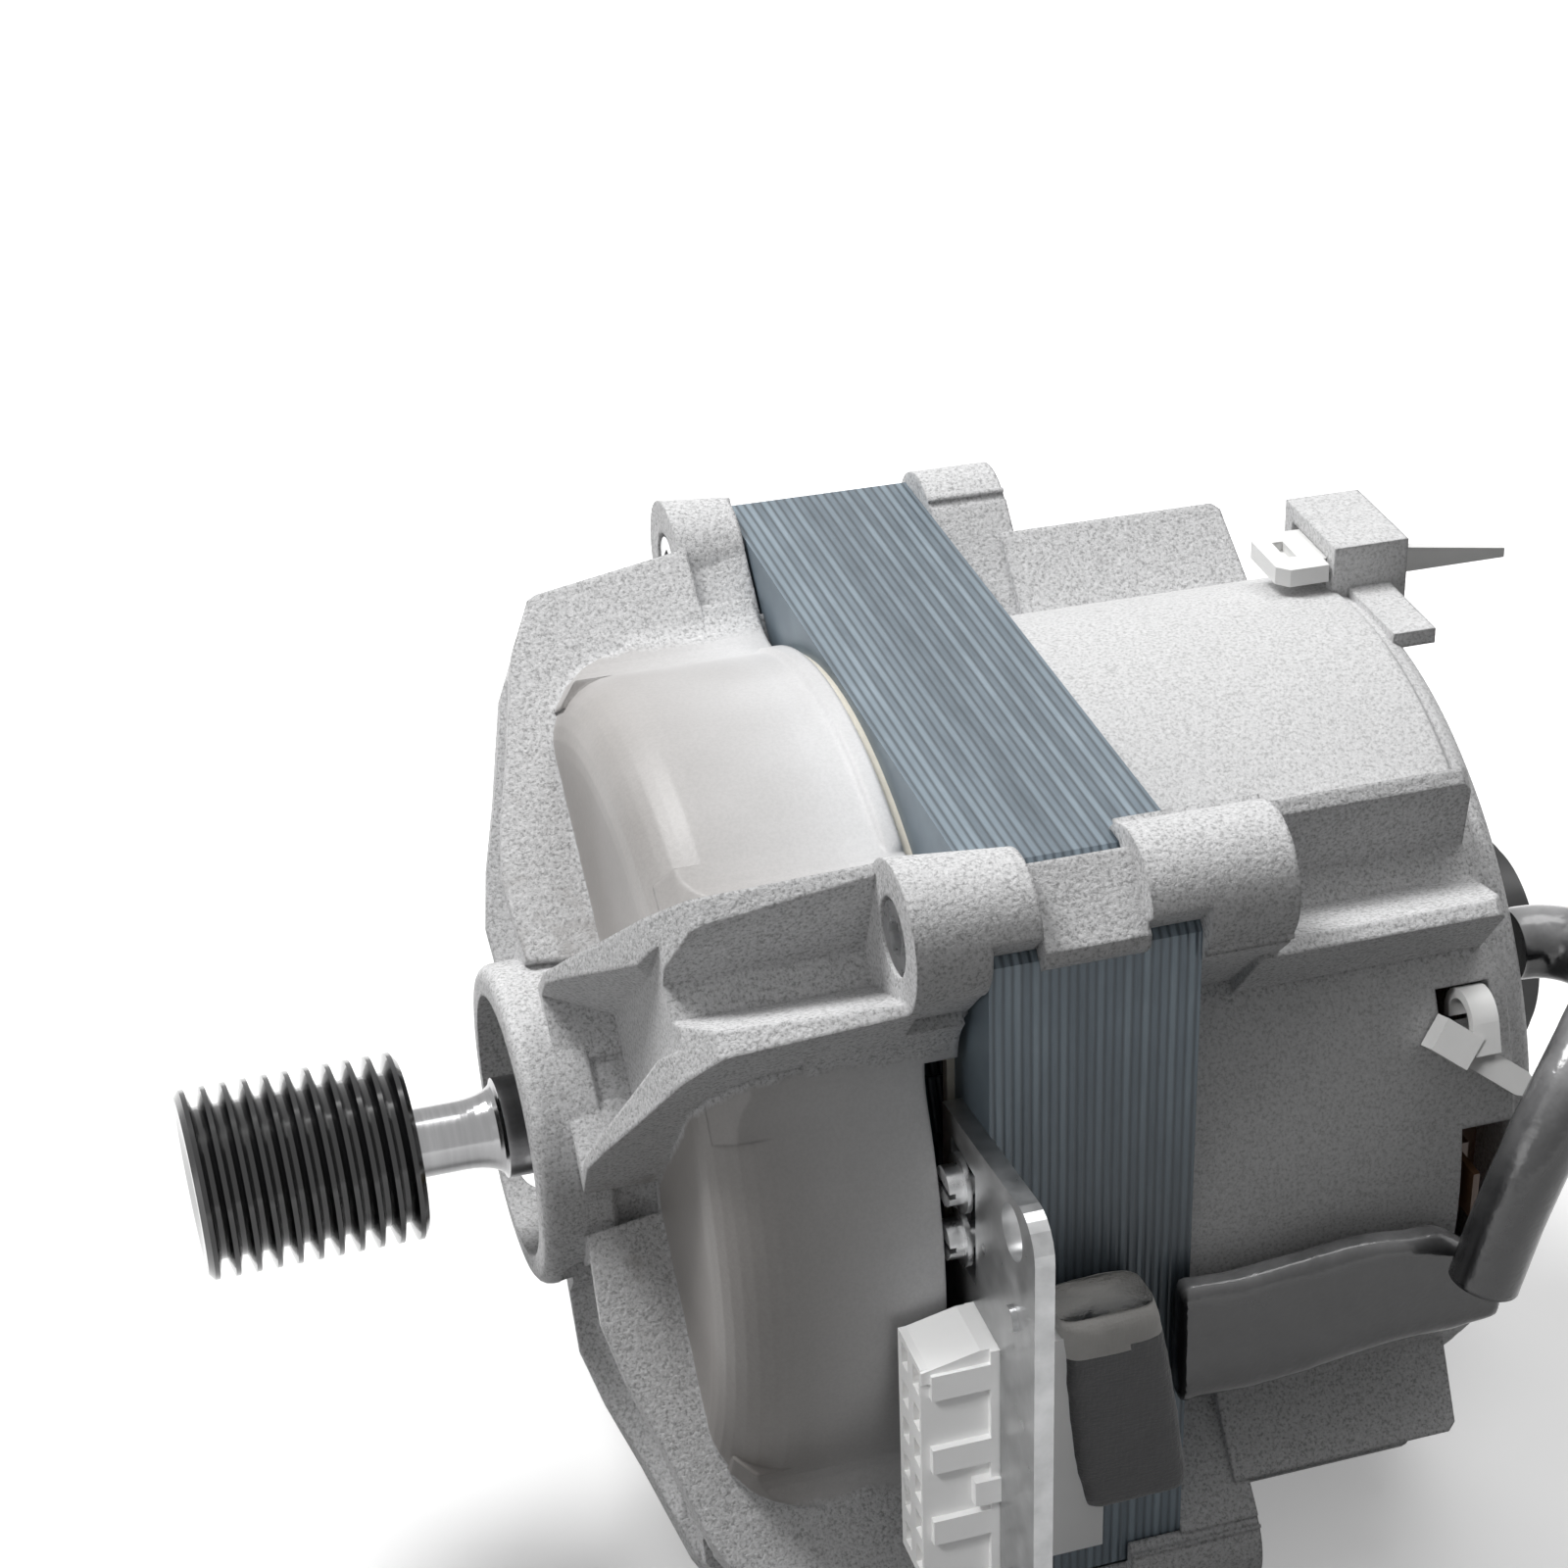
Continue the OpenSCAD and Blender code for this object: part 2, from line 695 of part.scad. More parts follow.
// Race ring with a groove for the balls
module race(x0, w, r_out, r_in, pitch, ball) {
    along_x(x0) rotate_extrude() difference() {
        translate([r_in, 0]) square([r_out - r_in, w]);
        translate([pitch, w / 2]) circle(r = ball + ball_play, $fn = 48);
    }
}

// Balls and the thin cage that spaces them
module ball_set(x0, w, pitch, ball) {
    for (k = [0 : ball_count - 1]) rotate([k * 360 / ball_count, 0, 0])
        translate([x0 + w / 2, pitch, 0]) sphere(r = ball, $fn = 32);
    x_ring(x0 + w / 2 - ball * 0.55, x0 + w / 2 + ball * 0.55, pitch + 0.4, pitch - 0.4);
}

fb_pitch = (fb_r + shaft_r) / 2;
fb_ball = (fb_r - shaft_r) * 0.25;
rb_pitch = (rb_r + tail_r) / 2;
rb_ball = (rb_r - tail_r) * 0.25;

module front_bearing_outer() {
    color("silver") race(fb_front, fb_w, fb_r, fb_pitch + fb_ball * 0.62, fb_pitch, fb_ball);
}

module front_bearing_inner() {
    color("silver") race(fb_front, fb_w, fb_pitch - fb_ball * 0.62, shaft_r, fb_pitch, fb_ball);
}

module front_bearing_balls() {
    color("gold") ball_set(fb_front, fb_w, fb_pitch, fb_ball);
}

module rear_bearing_outer() {
    color("silver") race(rb_front, rb_w, rb_r, rb_pitch + rb_ball * 0.62, rb_pitch, rb_ball);
}

module rear_bearing_inner() {
    color("silver") race(rb_front, rb_w, rb_pitch - rb_ball * 0.62, tail_r, rb_pitch, rb_ball);
}

module rear_bearing_balls() {
    color("gold") ball_set(rb_front, rb_w, rb_pitch, rb_ball);
}

module wave_washer() {
    color("dimgray") x_ring(rb_front - washer_t, rb_front, rb_r - 0.2, rb_r - 2.4);
}

// Turned shaft: nose, concave flare, bearing seats and core
module rotor_shaft() {
    flare_end = hub_front - 1;
    flare_start = flare_end - flare_len;
    rise = shaft_r - nose_d / 2;
    color("lightsteelblue") along_x() rotate_extrude() polygon(concat(
        [[0, pulley_front + 0.4], [nose_d / 2 - 0.5, pulley_front + 0.4], [nose_d / 2, pulley_front + 0.9]],
        [for (i = [0 : 8]) [nose_d / 2 + rise * (1 - cos(90 * i / 8)), flare_start + flare_len * sin(90 * i / 8)]],
        [[shaft_r, fb_rear], [shaft_r + 1.4, fb_rear], [shaft_r + 1.4, fb_rear + 0.8],
         [core_r, fb_rear + 0.8], [core_r, comm_rear + 0.4], [tail_r + 1.6, comm_rear + 0.4],
         [tail_r + 1.6, rb_front], [tail_r, rb_front], [tail_r, tail_end - 0.5], [tail_r - 0.5, tail_end],
         [0, tail_end]]
    ));
}

// Rotor sheets with the slot mouths
module rotor_stack() {
    color("slategray") sheet(stack_front, stack_rear) difference() {
        circle(r = rotor_r);
        circle(r = core_r);
        for (k = [0 : slot_count - 1]) rotate(k * 360 / slot_count)
            translate([rotor_r - 2, -0.9]) square([3, 1.8]);
    }
}

// Rounded end turns on both sides of the rotor stack
module armature_winding() {
    r_in = core_r;
    r_out = coil_base - 1.4;
    back = min(comm_front - stack_rear - 1, 11);
    color("chocolate") {
        end_turns(stack_front - 9.4, stack_front, r_in, r_out, -1);
        end_turns(stack_rear, stack_rear + back, r_in, r_out, 1);
    }
}

module end_turns(x0, x1, r_in, r_out, side) {
    round_r = 4;
    flat_x = side < 0 ? x1 : x0;
    tip_x = side < 0 ? x0 : x1;
    c = side < 0 ? tip_x + round_r : tip_x - round_r;
    along_x() rotate_extrude() polygon(concat(
        [[r_in, flat_x], [r_out, flat_x]],
        arc([r_out - round_r, c], round_r, 0, side * 90, 5),
        arc([r_in + round_r + 1, c], round_r, side * 90, side * 180, 5),
        [[r_in, c]]
    ));
}

// Copper bars with saw cuts between them, and the riser that takes the wires
module commutator() {
    color("darkgoldenrod") {
        sheet(comm_front, comm_rear) difference() {
            circle(r = comm_r);
            circle(r = core_r);
            for (k = [0 : bar_count - 1]) rotate(k * 360 / bar_count)
                translate([comm_r - 0.8, -0.25]) square([2, 0.5]);
        }
        x_ring(comm_front - 0.8, comm_front + 1.4, comm_r + 1.2, core_r);
    }
}

// Plastic fan with raked blades behind the front bearing
module rotor_fan() {
    front = fan_rear - blade_depth - 1.4;
    color("ivory") {
        x_ring(front, fan_rear, core_r + 4, core_r);
        x_ring(fan_rear - 1.4, fan_rear, fan_d / 2, core_r);
        for (k = [0 : blade_count - 1]) rotate([k * 360 / blade_count, 0, 0])
            translate([front, core_r + 3, 0]) rotate([14, 0, 0])
                block([0, 0, -0.7], [blade_depth + 0.4, fan_d / 2 - core_r - 5, 0.7]);
    }
}

// Pulley with vee grooves for a ribbed belt
module pulley() {
    root = pulley_r - groove_depth;
    first = pulley_front + pulley_rim;
    crest = groove_pitch * 0.12;
    color("black") along_x() rotate_extrude() polygon(concat(
        [[nose_d / 2, pulley_front + 0.6], [root - 0.6, pulley_front], [pulley_r - 0.8, pulley_front],
         [pulley_r, first - crest]],
        [for (k = [0 : groove_count - 1], q = [0 : 3])
            [q == 0 || q == 3 ? pulley_r : root,
             first + k * groove_pitch + [crest, groove_pitch / 2 - crest, groove_pitch / 2 + crest, groove_pitch - crest][q]]],
        [[pulley_r, pulley_rear - pulley_rim + crest], [pulley_r - 0.9, pulley_rear], [nose_d / 2, pulley_rear]]
    ));
}

// Moulded brush box with its foot on the rear wall and a terminal tab
module brush_holder(s) {
    half_w = brush_w / 2 + brush_play;
    half_t = brush_t / 2 + brush_play;
    scale([1, s, 1]) difference() {
        union() {
            block([brush_x - half_w - box_wall, box_in, -half_t - box_wall],
                  [brush_x + half_w + box_wall, box_out, half_t + box_wall]);
            block([brush_x, box_in + 4, -9.5], [rear_wall_in, box_out - 6, 9.5]);
            block([rear_wall_in - 5.6, box_out - 1, -3.1], [rear_wall_in - 4.8, bell_r + 0.4, 3.1]);
        }
        block([brush_x - half_w, box_in - 1, -half_t], [brush_x + half_w, spring_out, half_t]);
        for (z = [-1, 1]) brush_screw_axis(1, z) cylinder(h = 12, r = 1.3, center = true);
    }
}

// Axis of a brush box screw through the rear wall, beside the box
module brush_screw_axis(s, z) {
    translate([rear_wall_in, s * (box_in + box_out) / 2, z * 7]) rotate([0, 90, 0]) children();
}

module brush_holder_near() {
    color("saddlebrown") brush_holder(near);
}

module brush_holder_far() {
    color("saddlebrown") brush_holder(far);
}

// Carbon brush with its end hollowed to the commutator
module brush(s) {
    scale([1, s, 1]) difference() {
        block([brush_x - brush_w / 2, comm_r - 1, -brush_t / 2], [brush_x + brush_w / 2, brush_out, brush_t / 2]);
        x_pin(brush_x - brush_w, brush_x + brush_w, comm_r + brush_tip_gap);
    }
}

module brush_near() {
    color("dimgray") brush(near);
}

module brush_far() {
    color("dimgray") brush(far);
}

// Round wire swept along a list of points, its section carried along without twist
function unit(v) = v / norm(v);
function heading(p, i) = unit(p[min(i + 1, len(p) - 1)] - p[max(i - 1, 0)]);
function turned(u, a, b) = let (c = cross(a, b)) u + cross(c, u) + cross(c, cross(c, u)) / (1 + a * b);
function carried(p, u, i = 0) = i >= len(p) - 1 ? [u] :
    concat([u], carried(p, turned(u, heading(p, i), heading(p, i + 1)), i + 1));

module swept(path, r, sides, up = [0, 0, 1]) {
    n = len(path);
    sections = carried(path, unit(cross(heading(path, 0), up)));
    points = [for (i = [0 : n - 1], k = [0 : sides - 1])
        let (a = sections[i], b = cross(a, heading(path, i)), w = 360 * k / sides)
            path[i] + r * (a * cos(w) + b * sin(w))];
    faces = concat(
        [[for (k = [0 : sides - 1]) k]],
        [for (i = [0 : n - 2], k = [0 : sides - 1])
            [i * sides + k, (i + 1) * sides + k, (i + 1) * sides + (k + 1) % sides]],
        [for (i = [0 : n - 2], k = [0 : sides - 1])
            [i * sides + k, (i + 1) * sides + (k + 1) % sides, i * sides + (k + 1) % sides]],
        [[for (k = [sides - 1 : -1 : 0]) (n - 1) * sides + k]]
    );
    polyhedron(points = points, faces = faces);
}

// Coil spring between the brush and the end of its box
module brush_spring(s) {
    steps = 8;
    y0 = brush_out + seat + spring_wire / 2;
    y1 = spring_out - seat - spring_wire / 2;
    path = [for (i = [0 : spring_turns * steps])
        let (w = 360 * i / steps)
            [brush_x + spring_r * cos(w), y0 + (y1 - y0) * i / (spring_turns * steps), spring_r * sin(w)]];
    scale([1, s, 1]) swept(path, spring_wire / 2, 5, [0, 1, 0]);
}

module brush_spring_near() {
    color("silver") brush_spring(near);
}

module brush_spring_far() {
    color("silver") brush_spring(far);
}

// Screws that hold the brush boxes to the rear wall, a group of four
module brush_holder_screws() {
    color("lightgray") for (s = [near, far], z = [-1, 1]) brush_screw_axis(s, z) {
        translate([0, 0, -4]) cylinder(h = wall + 4.2, r = 1.3, $fn = small_fn);
        translate([0, 0, wall]) difference() {
            cylinder(h = 1.8, r = 2.7, $fn = small_fn);
            translate([-0.4, -4, 1]) cube([0.8, 8, 2]);
        }
    }
}

module tacho_magnet() {
    color("dimgray") x_ring(rb_rear + 2, rb_rear + 2 + magnet_len, magnet_d / 2, tail_r);
}

// Sensor coil round the magnet, inside the cap
module tacho_coil() {
    color("black") x_ring(rear_hub_end + 0.6, rb_rear + 2.4 + magnet_len, rear_hub_d / 2 - cap_wall, magnet_d / 2 + 0.8);
}

// Cap that closes the rear hub
module tacho_cap() {
    back = max(tail_end, rb_rear + 2.4 + magnet_len) + 0.6;
    color("black") difference() {
        union() {
            x_pin(rear_hub_end, back + cap_wall - 1, rear_hub_d / 2);
            x_pin(back + cap_wall - 1.01, back + cap_wall, rear_hub_d / 2 - 1.2);
        }
        x_pin(rear_hub_end - 1, back, rear_hub_d / 2 - cap_wall);
    }
}

// Sheet-steel bracket, cut to carry the connector, narrow beside the shell and longer outside it
module bracket_outline() {
    low = bracket_top - bracket_h;
    r = 4.5;
    step = stack_half + 0.4;
    polygon(concat(
        [[-bracket_in, -24], [-bracket_in, bracket_top - 3.2]],
        arc([-bracket_reach + r, bracket_top - r], r, 84, 180, 6),
        arc([-bracket_reach + r, low + r], r, 180, 270, 6),
        [[-step, low], [-step, -24]]
    ));
}

module connector_bracket() {
    color("lightgray") difference() {
        union() {
            translate([sheet_front, 0, 0]) rotate([90, 0, 90]) linear_extrude(height = sheet_t) bracket_outline();
            translate([sheet_front - 0.7, -hole_y - 0.8, slot_low + 5]) rotate([0, 90, 0]) cylinder(h = 1, r = 1.5, $fn = small_fn);
        }
        block([sheet_front - 1, -plug_near - 0.15, plug_bottom - 0.15], [sheet_rear + 1, -plug_far + 0.15, plug_top + 0.15]);
        block([sheet_front - 1, -slot_out, slot_low], [sheet_rear + 1, -slot_in, slot_high]);
        translate([sheet_front - 1, -hole_y, hole_z]) rotate([0, 90, 0]) cylinder(h = sheet_t + 2, r = bracket_hole_d / 2);
    }
}

slot_in = bracket_in + 3;
slot_out = slot_in + 8;
slot_high = bracket_top - 5.8;
slot_low = plug_top + 3;
hole_y = bracket_reach - 7.1;
hole_z = bracket_top - 4.8;
fix_y = (slot_in + slot_out) / 2;
fix_z = [slot_high - 3.4, slot_low + 4];

// Screws with washers that clamp the bracket to the stack's front face
module bracket_screws() {
    color("white") for (z = fix_z) translate([sheet_front, -fix_y, z]) rotate([0, -90, 0]) {
        cylinder(h = 0.6, r = 3.4, $fn = small_fn);
        translate([0, 0, 0.6]) difference() {
            cylinder(h = 1.7, r = 2.3, $fn = small_fn);
            translate([-0.35, -3, 1]) cube([0.7, 6, 1]);
        }
        translate([0, 0, -sheet_t]) cylinder(h = sheet_t + 0.2, r = 1.5, $fn = small_fn);
    }
}

// Column and row places of the contact cavities
column_y = [plug_far + plug_w * 0.28, plug_far + plug_w * 0.72];
function row_z(k) = plug_top - row_pitch * (k + 0.7);

// Connector body: nose, shoulder and stepped near side
module connector_housing() {
    mid = sheet_front;
    color("white") difference() {
        union() {
            block([plug_nose, -plug_near + 0.9, plug_bottom + 0.6], [plug_tail, -plug_far - 0.2, plug_top - 1.2]);
            plug_ramp();
            for (k = [0 : row_count - 1]) if (k % 2 == 0)
                block([plug_nose + 1, -plug_near, row_z(k) - row_pitch * 0.3], [mid, -plug_far, row_z(k) + row_pitch * 0.36]);
            block([mid - 1, -plug_near, plug_bottom], [sheet_rear, -plug_far, plug_top]);
            block([mid - 3, -plug_near - 0.5, row_z(3) - 2], [mid, -plug_near + 1, row_z(3) + 1.4]);
        }
        for (y = column_y, k = [0 : row_count - 1])
            block([plug_nose - 1, -y - 1.1, row_z(k) - 1.5], [plug_tail - 2, -y + 1.1, row_z(k) + 1.5]);
    }
}

// Sloping lead-in on top of the connector
module plug_ramp() {
    translate([0, -plug_far - 0.2, 0]) rotate([90, 0, 0]) linear_extrude(height = plug_w - 0.7)
        polygon([[plug_nose, plug_top - 3], [plug_nose, plug_top - 1.4], [sheet_front - 2, plug_top + 0.1],
                 [sheet_front, plug_top], [sheet_front, plug_top - 3]]);
}

// Contact pins in the connector's cavities, one group
module connector_terminals() {
    color("goldenrod") for (y = column_y, k = [0 : row_count - 1])
        block([plug_nose + 3, -y - 0.4, row_z(k) - 1.5], [plug_tail - 2, -y + 0.4, row_z(k) + 0.9]);
}

// Black boot of wrapped tape over the back of the connector and its wires
module connector_boot() {
    y0 = stack_half + seat;
    y1 = plug_near - 0.9 + boot_wall;
    low = plug_bottom + 6.5;
    color("black") difference() {
        translate([0, -y0, 0]) rotate([90, 0, 0]) linear_extrude(height = y1 - y0) polygon(concat(
            [[boot_front, plug_top + 0.8]],
            arc([boot_rear - 4.8, plug_top - 0.7], 1.5, 90, 8, 4),
            arc([boot_rear - 1.5, low + 1.5], 1.5, 0, -90, 4),
            [[boot_front + 3, low]]
        ));
        block([boot_front - 1, -plug_near + 0.85, plug_bottom + 0.5], [plug_tail + 0.1, -plug_far - 0.15, plug_top - 1.1]);
    }
}

// Flat shiny sleeve that carries the wires along the rear shell
module harness_sleeve() {
    y = side_face + seat + sleeve_t / 2;
    top = plug_top - 1.6;
    color("black") hull() {
        sleeve_slice(boot_rear + seat, y, top, sleeve_h);
        sleeve_slice(rear_wall_out - 13.8, y, top, sleeve_h - 1.6);
        sleeve_slice(rear_wall_out - 6.3, y, top - 7.4, sleeve_h - 9.4);
    }
}

module sleeve_slice(x, y, top, h) {
    for (z = [top - sleeve_t / 2, top - h + sleeve_t / 2]) translate([x, -y, z]) rotate([0, 90, 0])
        cylinder(h = 0.5, r = sleeve_t / 2, $fn = 20);
}

// Round glossy sleeve that runs up from the flat one and back round the rear shell
tube_path = concat(
    [[-7.4, 0, -4.4], [-6.2, 0, 0], [-4.8, 0, 5], [-2.8, 0.2, 10.5], [-0.4, 1, 15.4], [2.8, 2.6, 19.6], [6.4, 5.4, 22.4],
     [10.2, 9.2, 24]],
    [for (a = [-18 : 18 : 90]) [5.4 + 7.4 * cos(a), 15.6 + 7.4 * sin(a), 24.6]],
    [[4.3, 23, 24.6]]
);

module harness_tube() {
    place = [rear_wall_out - 4, -side_face - sleeve_t - tube_d / 2 - 2 * seat, 0];
    path = [for (p = tube_path) place + p];
    color("black") difference() {
        swept(path, tube_d / 2, 12, [0, 1, 0.02]);
        translate(path[0]) rotate([0, 20, 0]) translate([0, 0, -3]) cylinder(h = 6, r = tube_d / 2 - 0.9, $fn = 24);
    }
}

// Nylon tie through the cable guide: flat head ahead of it, strap on edge, pointed tail behind
module cable_tie_top() {
    y = guide_y + 2.2 + seat;
    z = guide_floor + seat;
    tail = guide_x + guide_len;
    top = guide_gap - 2 * seat;
    color("white") {
        translate([guide_x - 6.8, y - 1.8, z + top - 2.2]) difference() {
            linear_extrude(height = 2.2) polygon([[0, 1.4], [1.4, 0], [6.4, 0], [6.4, 1.8], [8.4, 1.8], [8.4, 10.4],
                                                  [1.4, 10.4], [0, 9]]);
            translate([2.2, 3.4, 1]) cube([1.4, tie_w, 2]);
        }
        translate([0, y + tie_t, z]) rotate([90, 0, 0]) linear_extrude(height = tie_t)
            polygon([[guide_x - 3, top - 1], [guide_x + 0.5, 0], [tail + 14.4, 0], [tail + 14.4, 1.2], [tail, top],
                     [guide_x - 3, top]]);
    }
}

// Nylon tie on the near side: square head, strap, and a loop back through the shell's slot
module cable_tie_side() {
    y = -bell_r - seat;
    color("white") rotate([-tie_lean, 0, 0]) {
        translate([tie_x, y, 1.8]) rotate([0, 38, 0]) {
            block([-2.6, -2.9, -2], [2.6, 0, 2]);
            rotate([90, 0, 0]) linear_extrude(height = tie_t)
                polygon([[0, -tie_strap_w / 2], [10.4, -tie_strap_w / 2], [13, -0.6], [13, 0.6],
                         [10.4, tie_strap_w / 2], [0, tie_strap_w / 2]]);
        }
        translate([tie_x + 2.2, y + 1.2, 1.2]) {
            translate([0, 0, 2.2]) rotate([90, 0, 90]) linear_extrude(height = 3.2) difference() {
                circle(r = 2.6 + tie_t, $fn = small_fn);
                circle(r = 2.6, $fn = small_fn);
                translate([-8, -16]) square([16, 16]);
            }
            block([0, -2.6 - tie_t, -1.4], [3.2, -2.6, 2.3]);
        }
    }
}

front_shield();
rear_shield();
stator_stack();
insulator_front();
insulator_rear();
field_coil_upper();
field_coil_lower();
clamp_screws();
front_bearing_outer();
front_bearing_inner();
front_bearing_balls();
rear_bearing_outer();
rear_bearing_inner();
rear_bearing_balls();
wave_washer();
rotor_shaft();
rotor_stack();
armature_winding();
commutator();
rotor_fan();
pulley();
brush_holder_near();
brush_holder_far();
brush_near();
brush_far();
brush_spring_near();
brush_spring_far();
brush_holder_screws();
tacho_magnet();
tacho_coil();
tacho_cap();
connector_bracket();
bracket_screws();
connector_housing();
connector_terminals();
connector_boot();
harness_sleeve();
harness_tube();
cable_tie_top();
cable_tie_side();
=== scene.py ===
import bpy
import math
from mathutils import Matrix, Vector, noise


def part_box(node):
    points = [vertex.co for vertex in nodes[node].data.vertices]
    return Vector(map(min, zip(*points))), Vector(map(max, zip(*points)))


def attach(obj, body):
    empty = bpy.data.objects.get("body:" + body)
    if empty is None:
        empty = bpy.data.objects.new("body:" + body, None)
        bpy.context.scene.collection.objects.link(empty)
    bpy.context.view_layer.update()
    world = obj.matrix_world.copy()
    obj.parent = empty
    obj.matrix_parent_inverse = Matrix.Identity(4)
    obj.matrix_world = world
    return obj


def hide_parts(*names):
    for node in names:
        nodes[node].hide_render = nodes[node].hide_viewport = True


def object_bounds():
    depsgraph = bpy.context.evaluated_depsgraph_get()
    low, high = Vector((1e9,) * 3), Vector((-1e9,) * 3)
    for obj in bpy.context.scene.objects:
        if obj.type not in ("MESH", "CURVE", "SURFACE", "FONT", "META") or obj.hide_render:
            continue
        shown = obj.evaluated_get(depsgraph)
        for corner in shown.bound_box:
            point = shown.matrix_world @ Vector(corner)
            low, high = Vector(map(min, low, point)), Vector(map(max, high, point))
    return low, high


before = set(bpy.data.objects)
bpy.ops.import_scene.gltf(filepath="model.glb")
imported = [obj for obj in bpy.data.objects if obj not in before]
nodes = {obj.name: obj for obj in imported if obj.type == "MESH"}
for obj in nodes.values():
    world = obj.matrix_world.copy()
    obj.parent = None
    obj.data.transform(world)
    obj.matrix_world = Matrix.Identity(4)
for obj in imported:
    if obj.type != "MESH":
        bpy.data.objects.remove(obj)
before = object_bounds()
MM = 0.001


# Shader helpers. t is a node tree. Lengths in shaders are in metres

def link(t, a, b):
    t.links.new(a, b)


def new_material(name):
    material = bpy.data.materials.new(name)
    material.use_nodes = True
    t = material.node_tree
    t.nodes.clear()
    out = t.nodes.new("ShaderNodeOutputMaterial")
    shader = t.nodes.new("ShaderNodeBsdfPrincipled")
    link(t, shader.outputs[0], out.inputs[0])
    return material, t, shader


def coords(t):
    return t.nodes.new("ShaderNodeTexCoord").outputs["Object"]


def separate(t, vec):
    n = t.nodes.new("ShaderNodeSeparateXYZ")
    link(t, vec, n.inputs[0])
    return n.outputs


def scaled(t, vec, scale):
    n = t.nodes.new("ShaderNodeMapping")
    n.inputs["Scale"].default_value = scale
    link(t, vec, n.inputs["Vector"])
    return n.outputs[0]


def noise_tex(t, vec, scale, detail=4.0, rough=0.55):
    n = t.nodes.new("ShaderNodeTexNoise")
    n.inputs["Scale"].default_value = scale
    n.inputs["Detail"].default_value = detail
    n.inputs["Roughness"].default_value = rough
    link(t, vec, n.inputs["Vector"])
    return n.outputs["Fac"]


def math_node(t, op, a, b=None, clamp=False):
    n = t.nodes.new("ShaderNodeMath")
    n.operation = op
    n.use_clamp = clamp
    for i, v in enumerate((a, b)):
        if v is None:
            continue
        if isinstance(v, (int, float)):
            n.inputs[i].default_value = v
        else:
            link(t, v, n.inputs[i])
    return n.outputs[0]


def add(t, a, b):
    return math_node(t, "ADD", a, b)


def sub(t, a, b):
    return math_node(t, "SUBTRACT", a, b)


def mul(t, a, b, clamp=False):
    return math_node(t, "MULTIPLY", a, b, clamp)


# A noise from 0 to 1 becomes a shift of up to half the amount either way
def sway(t, noise_value, amount):
    return mul(t, sub(t, noise_value, 0.5), amount)


def remap(t, v, from_low, from_high, to_low=0.0, to_high=1.0):
    n = t.nodes.new("ShaderNodeMapRange")
    for i, limit in enumerate((from_low, from_high, to_low, to_high)):
        n.inputs[i + 1].default_value = limit
    link(t, v, n.inputs[0])
    return n.outputs[0]


def ramp(t, fac, stops):
    n = t.nodes.new("ShaderNodeValToRGB")
    while len(n.color_ramp.elements) < len(stops):
        n.color_ramp.elements.new(0.5)
    for element, (position, color) in zip(n.color_ramp.elements, stops):
        element.position = position
        element.color = (*color, 1)
    link(t, fac, n.inputs[0])
    return n.outputs[0]


# The sockets of a Mix node that count when it mixes colours
MIX_FACTOR, MIX_A, MIX_B, MIX_RESULT = 0, 6, 7, 2


def mix_color(t, fac, a, b, kind="MIX"):
    n = t.nodes.new("ShaderNodeMix")
    n.data_type = "RGBA"
    n.blend_type = kind
    for i, v in ((MIX_FACTOR, fac), (MIX_A, a), (MIX_B, b)):
        if isinstance(v, (int, float)):
            n.inputs[i].default_value = v if i == MIX_FACTOR else (v, v, v, 1)
        elif isinstance(v, tuple):
            n.inputs[i].default_value = (*v, 1)
        else:
            link(t, v, n.inputs[i])
    return n.outputs[MIX_RESULT]


# Relief on a shader's normal. With an edge, corners are rounded over that radius
def bump(t, shader, height, distance, strength, edge=0.0):
    n = t.nodes.new("ShaderNodeBump")
    n.inputs["Distance"].default_value = distance
    n.inputs["Strength"].default_value = strength
    link(t, height, n.inputs["Height"])
    if edge:
        bevel = t.nodes.new("ShaderNodeBevel")
        bevel.samples = 4
        bevel.inputs["Radius"].default_value = edge
        link(t, bevel.outputs[0], n.inputs["Normal"])
    link(t, n.outputs[0], shader.inputs["Normal"])


# What the camera sees straight, in a reflection or through glass: 1, all other light: 0
def seen_rays(t):
    rays = t.nodes.new("ShaderNodeLightPath").outputs
    seen = math_node(t, "MAXIMUM", rays["Is Camera Ray"], rays["Is Glossy Ray"])
    return math_node(t, "MAXIMUM", seen, rays["Is Transmission Ray"])


def dim(color, factor):
    return tuple(v * factor for v in color)


def put(name, material):
    o = nodes[name]
    for s in o.material_slots:
        s.material = material
    if not o.material_slots:
        o.data.materials.append(material)


# Cast aluminium: rough sand skin on the arms and hub, smoother pressed skin on the round shells.
# The arms run along the diagonals of y and z, and grow a little wider towards the shaft

DIAGONAL = 0.7071
ARM_HALF = 0.0093
ARM_END = 0.0605
ARM_TAPER = 0.07
SKIN_WAVE = 0.0016
SKIN_EDGE = (-0.0002, 0.0004)
HUB_EDGE = (0.0192, 0.0198)
REAR_SHELL = 0.35
# Where the front shell's painted shade falls along x, and the brownish colour of its painted reflection
FRONT_SHADE_X = (-0.064, -0.040)
FRONT_SHADE_TINT = (0.52, 0.49, 0.465)
BRIGHTEST = 0.93


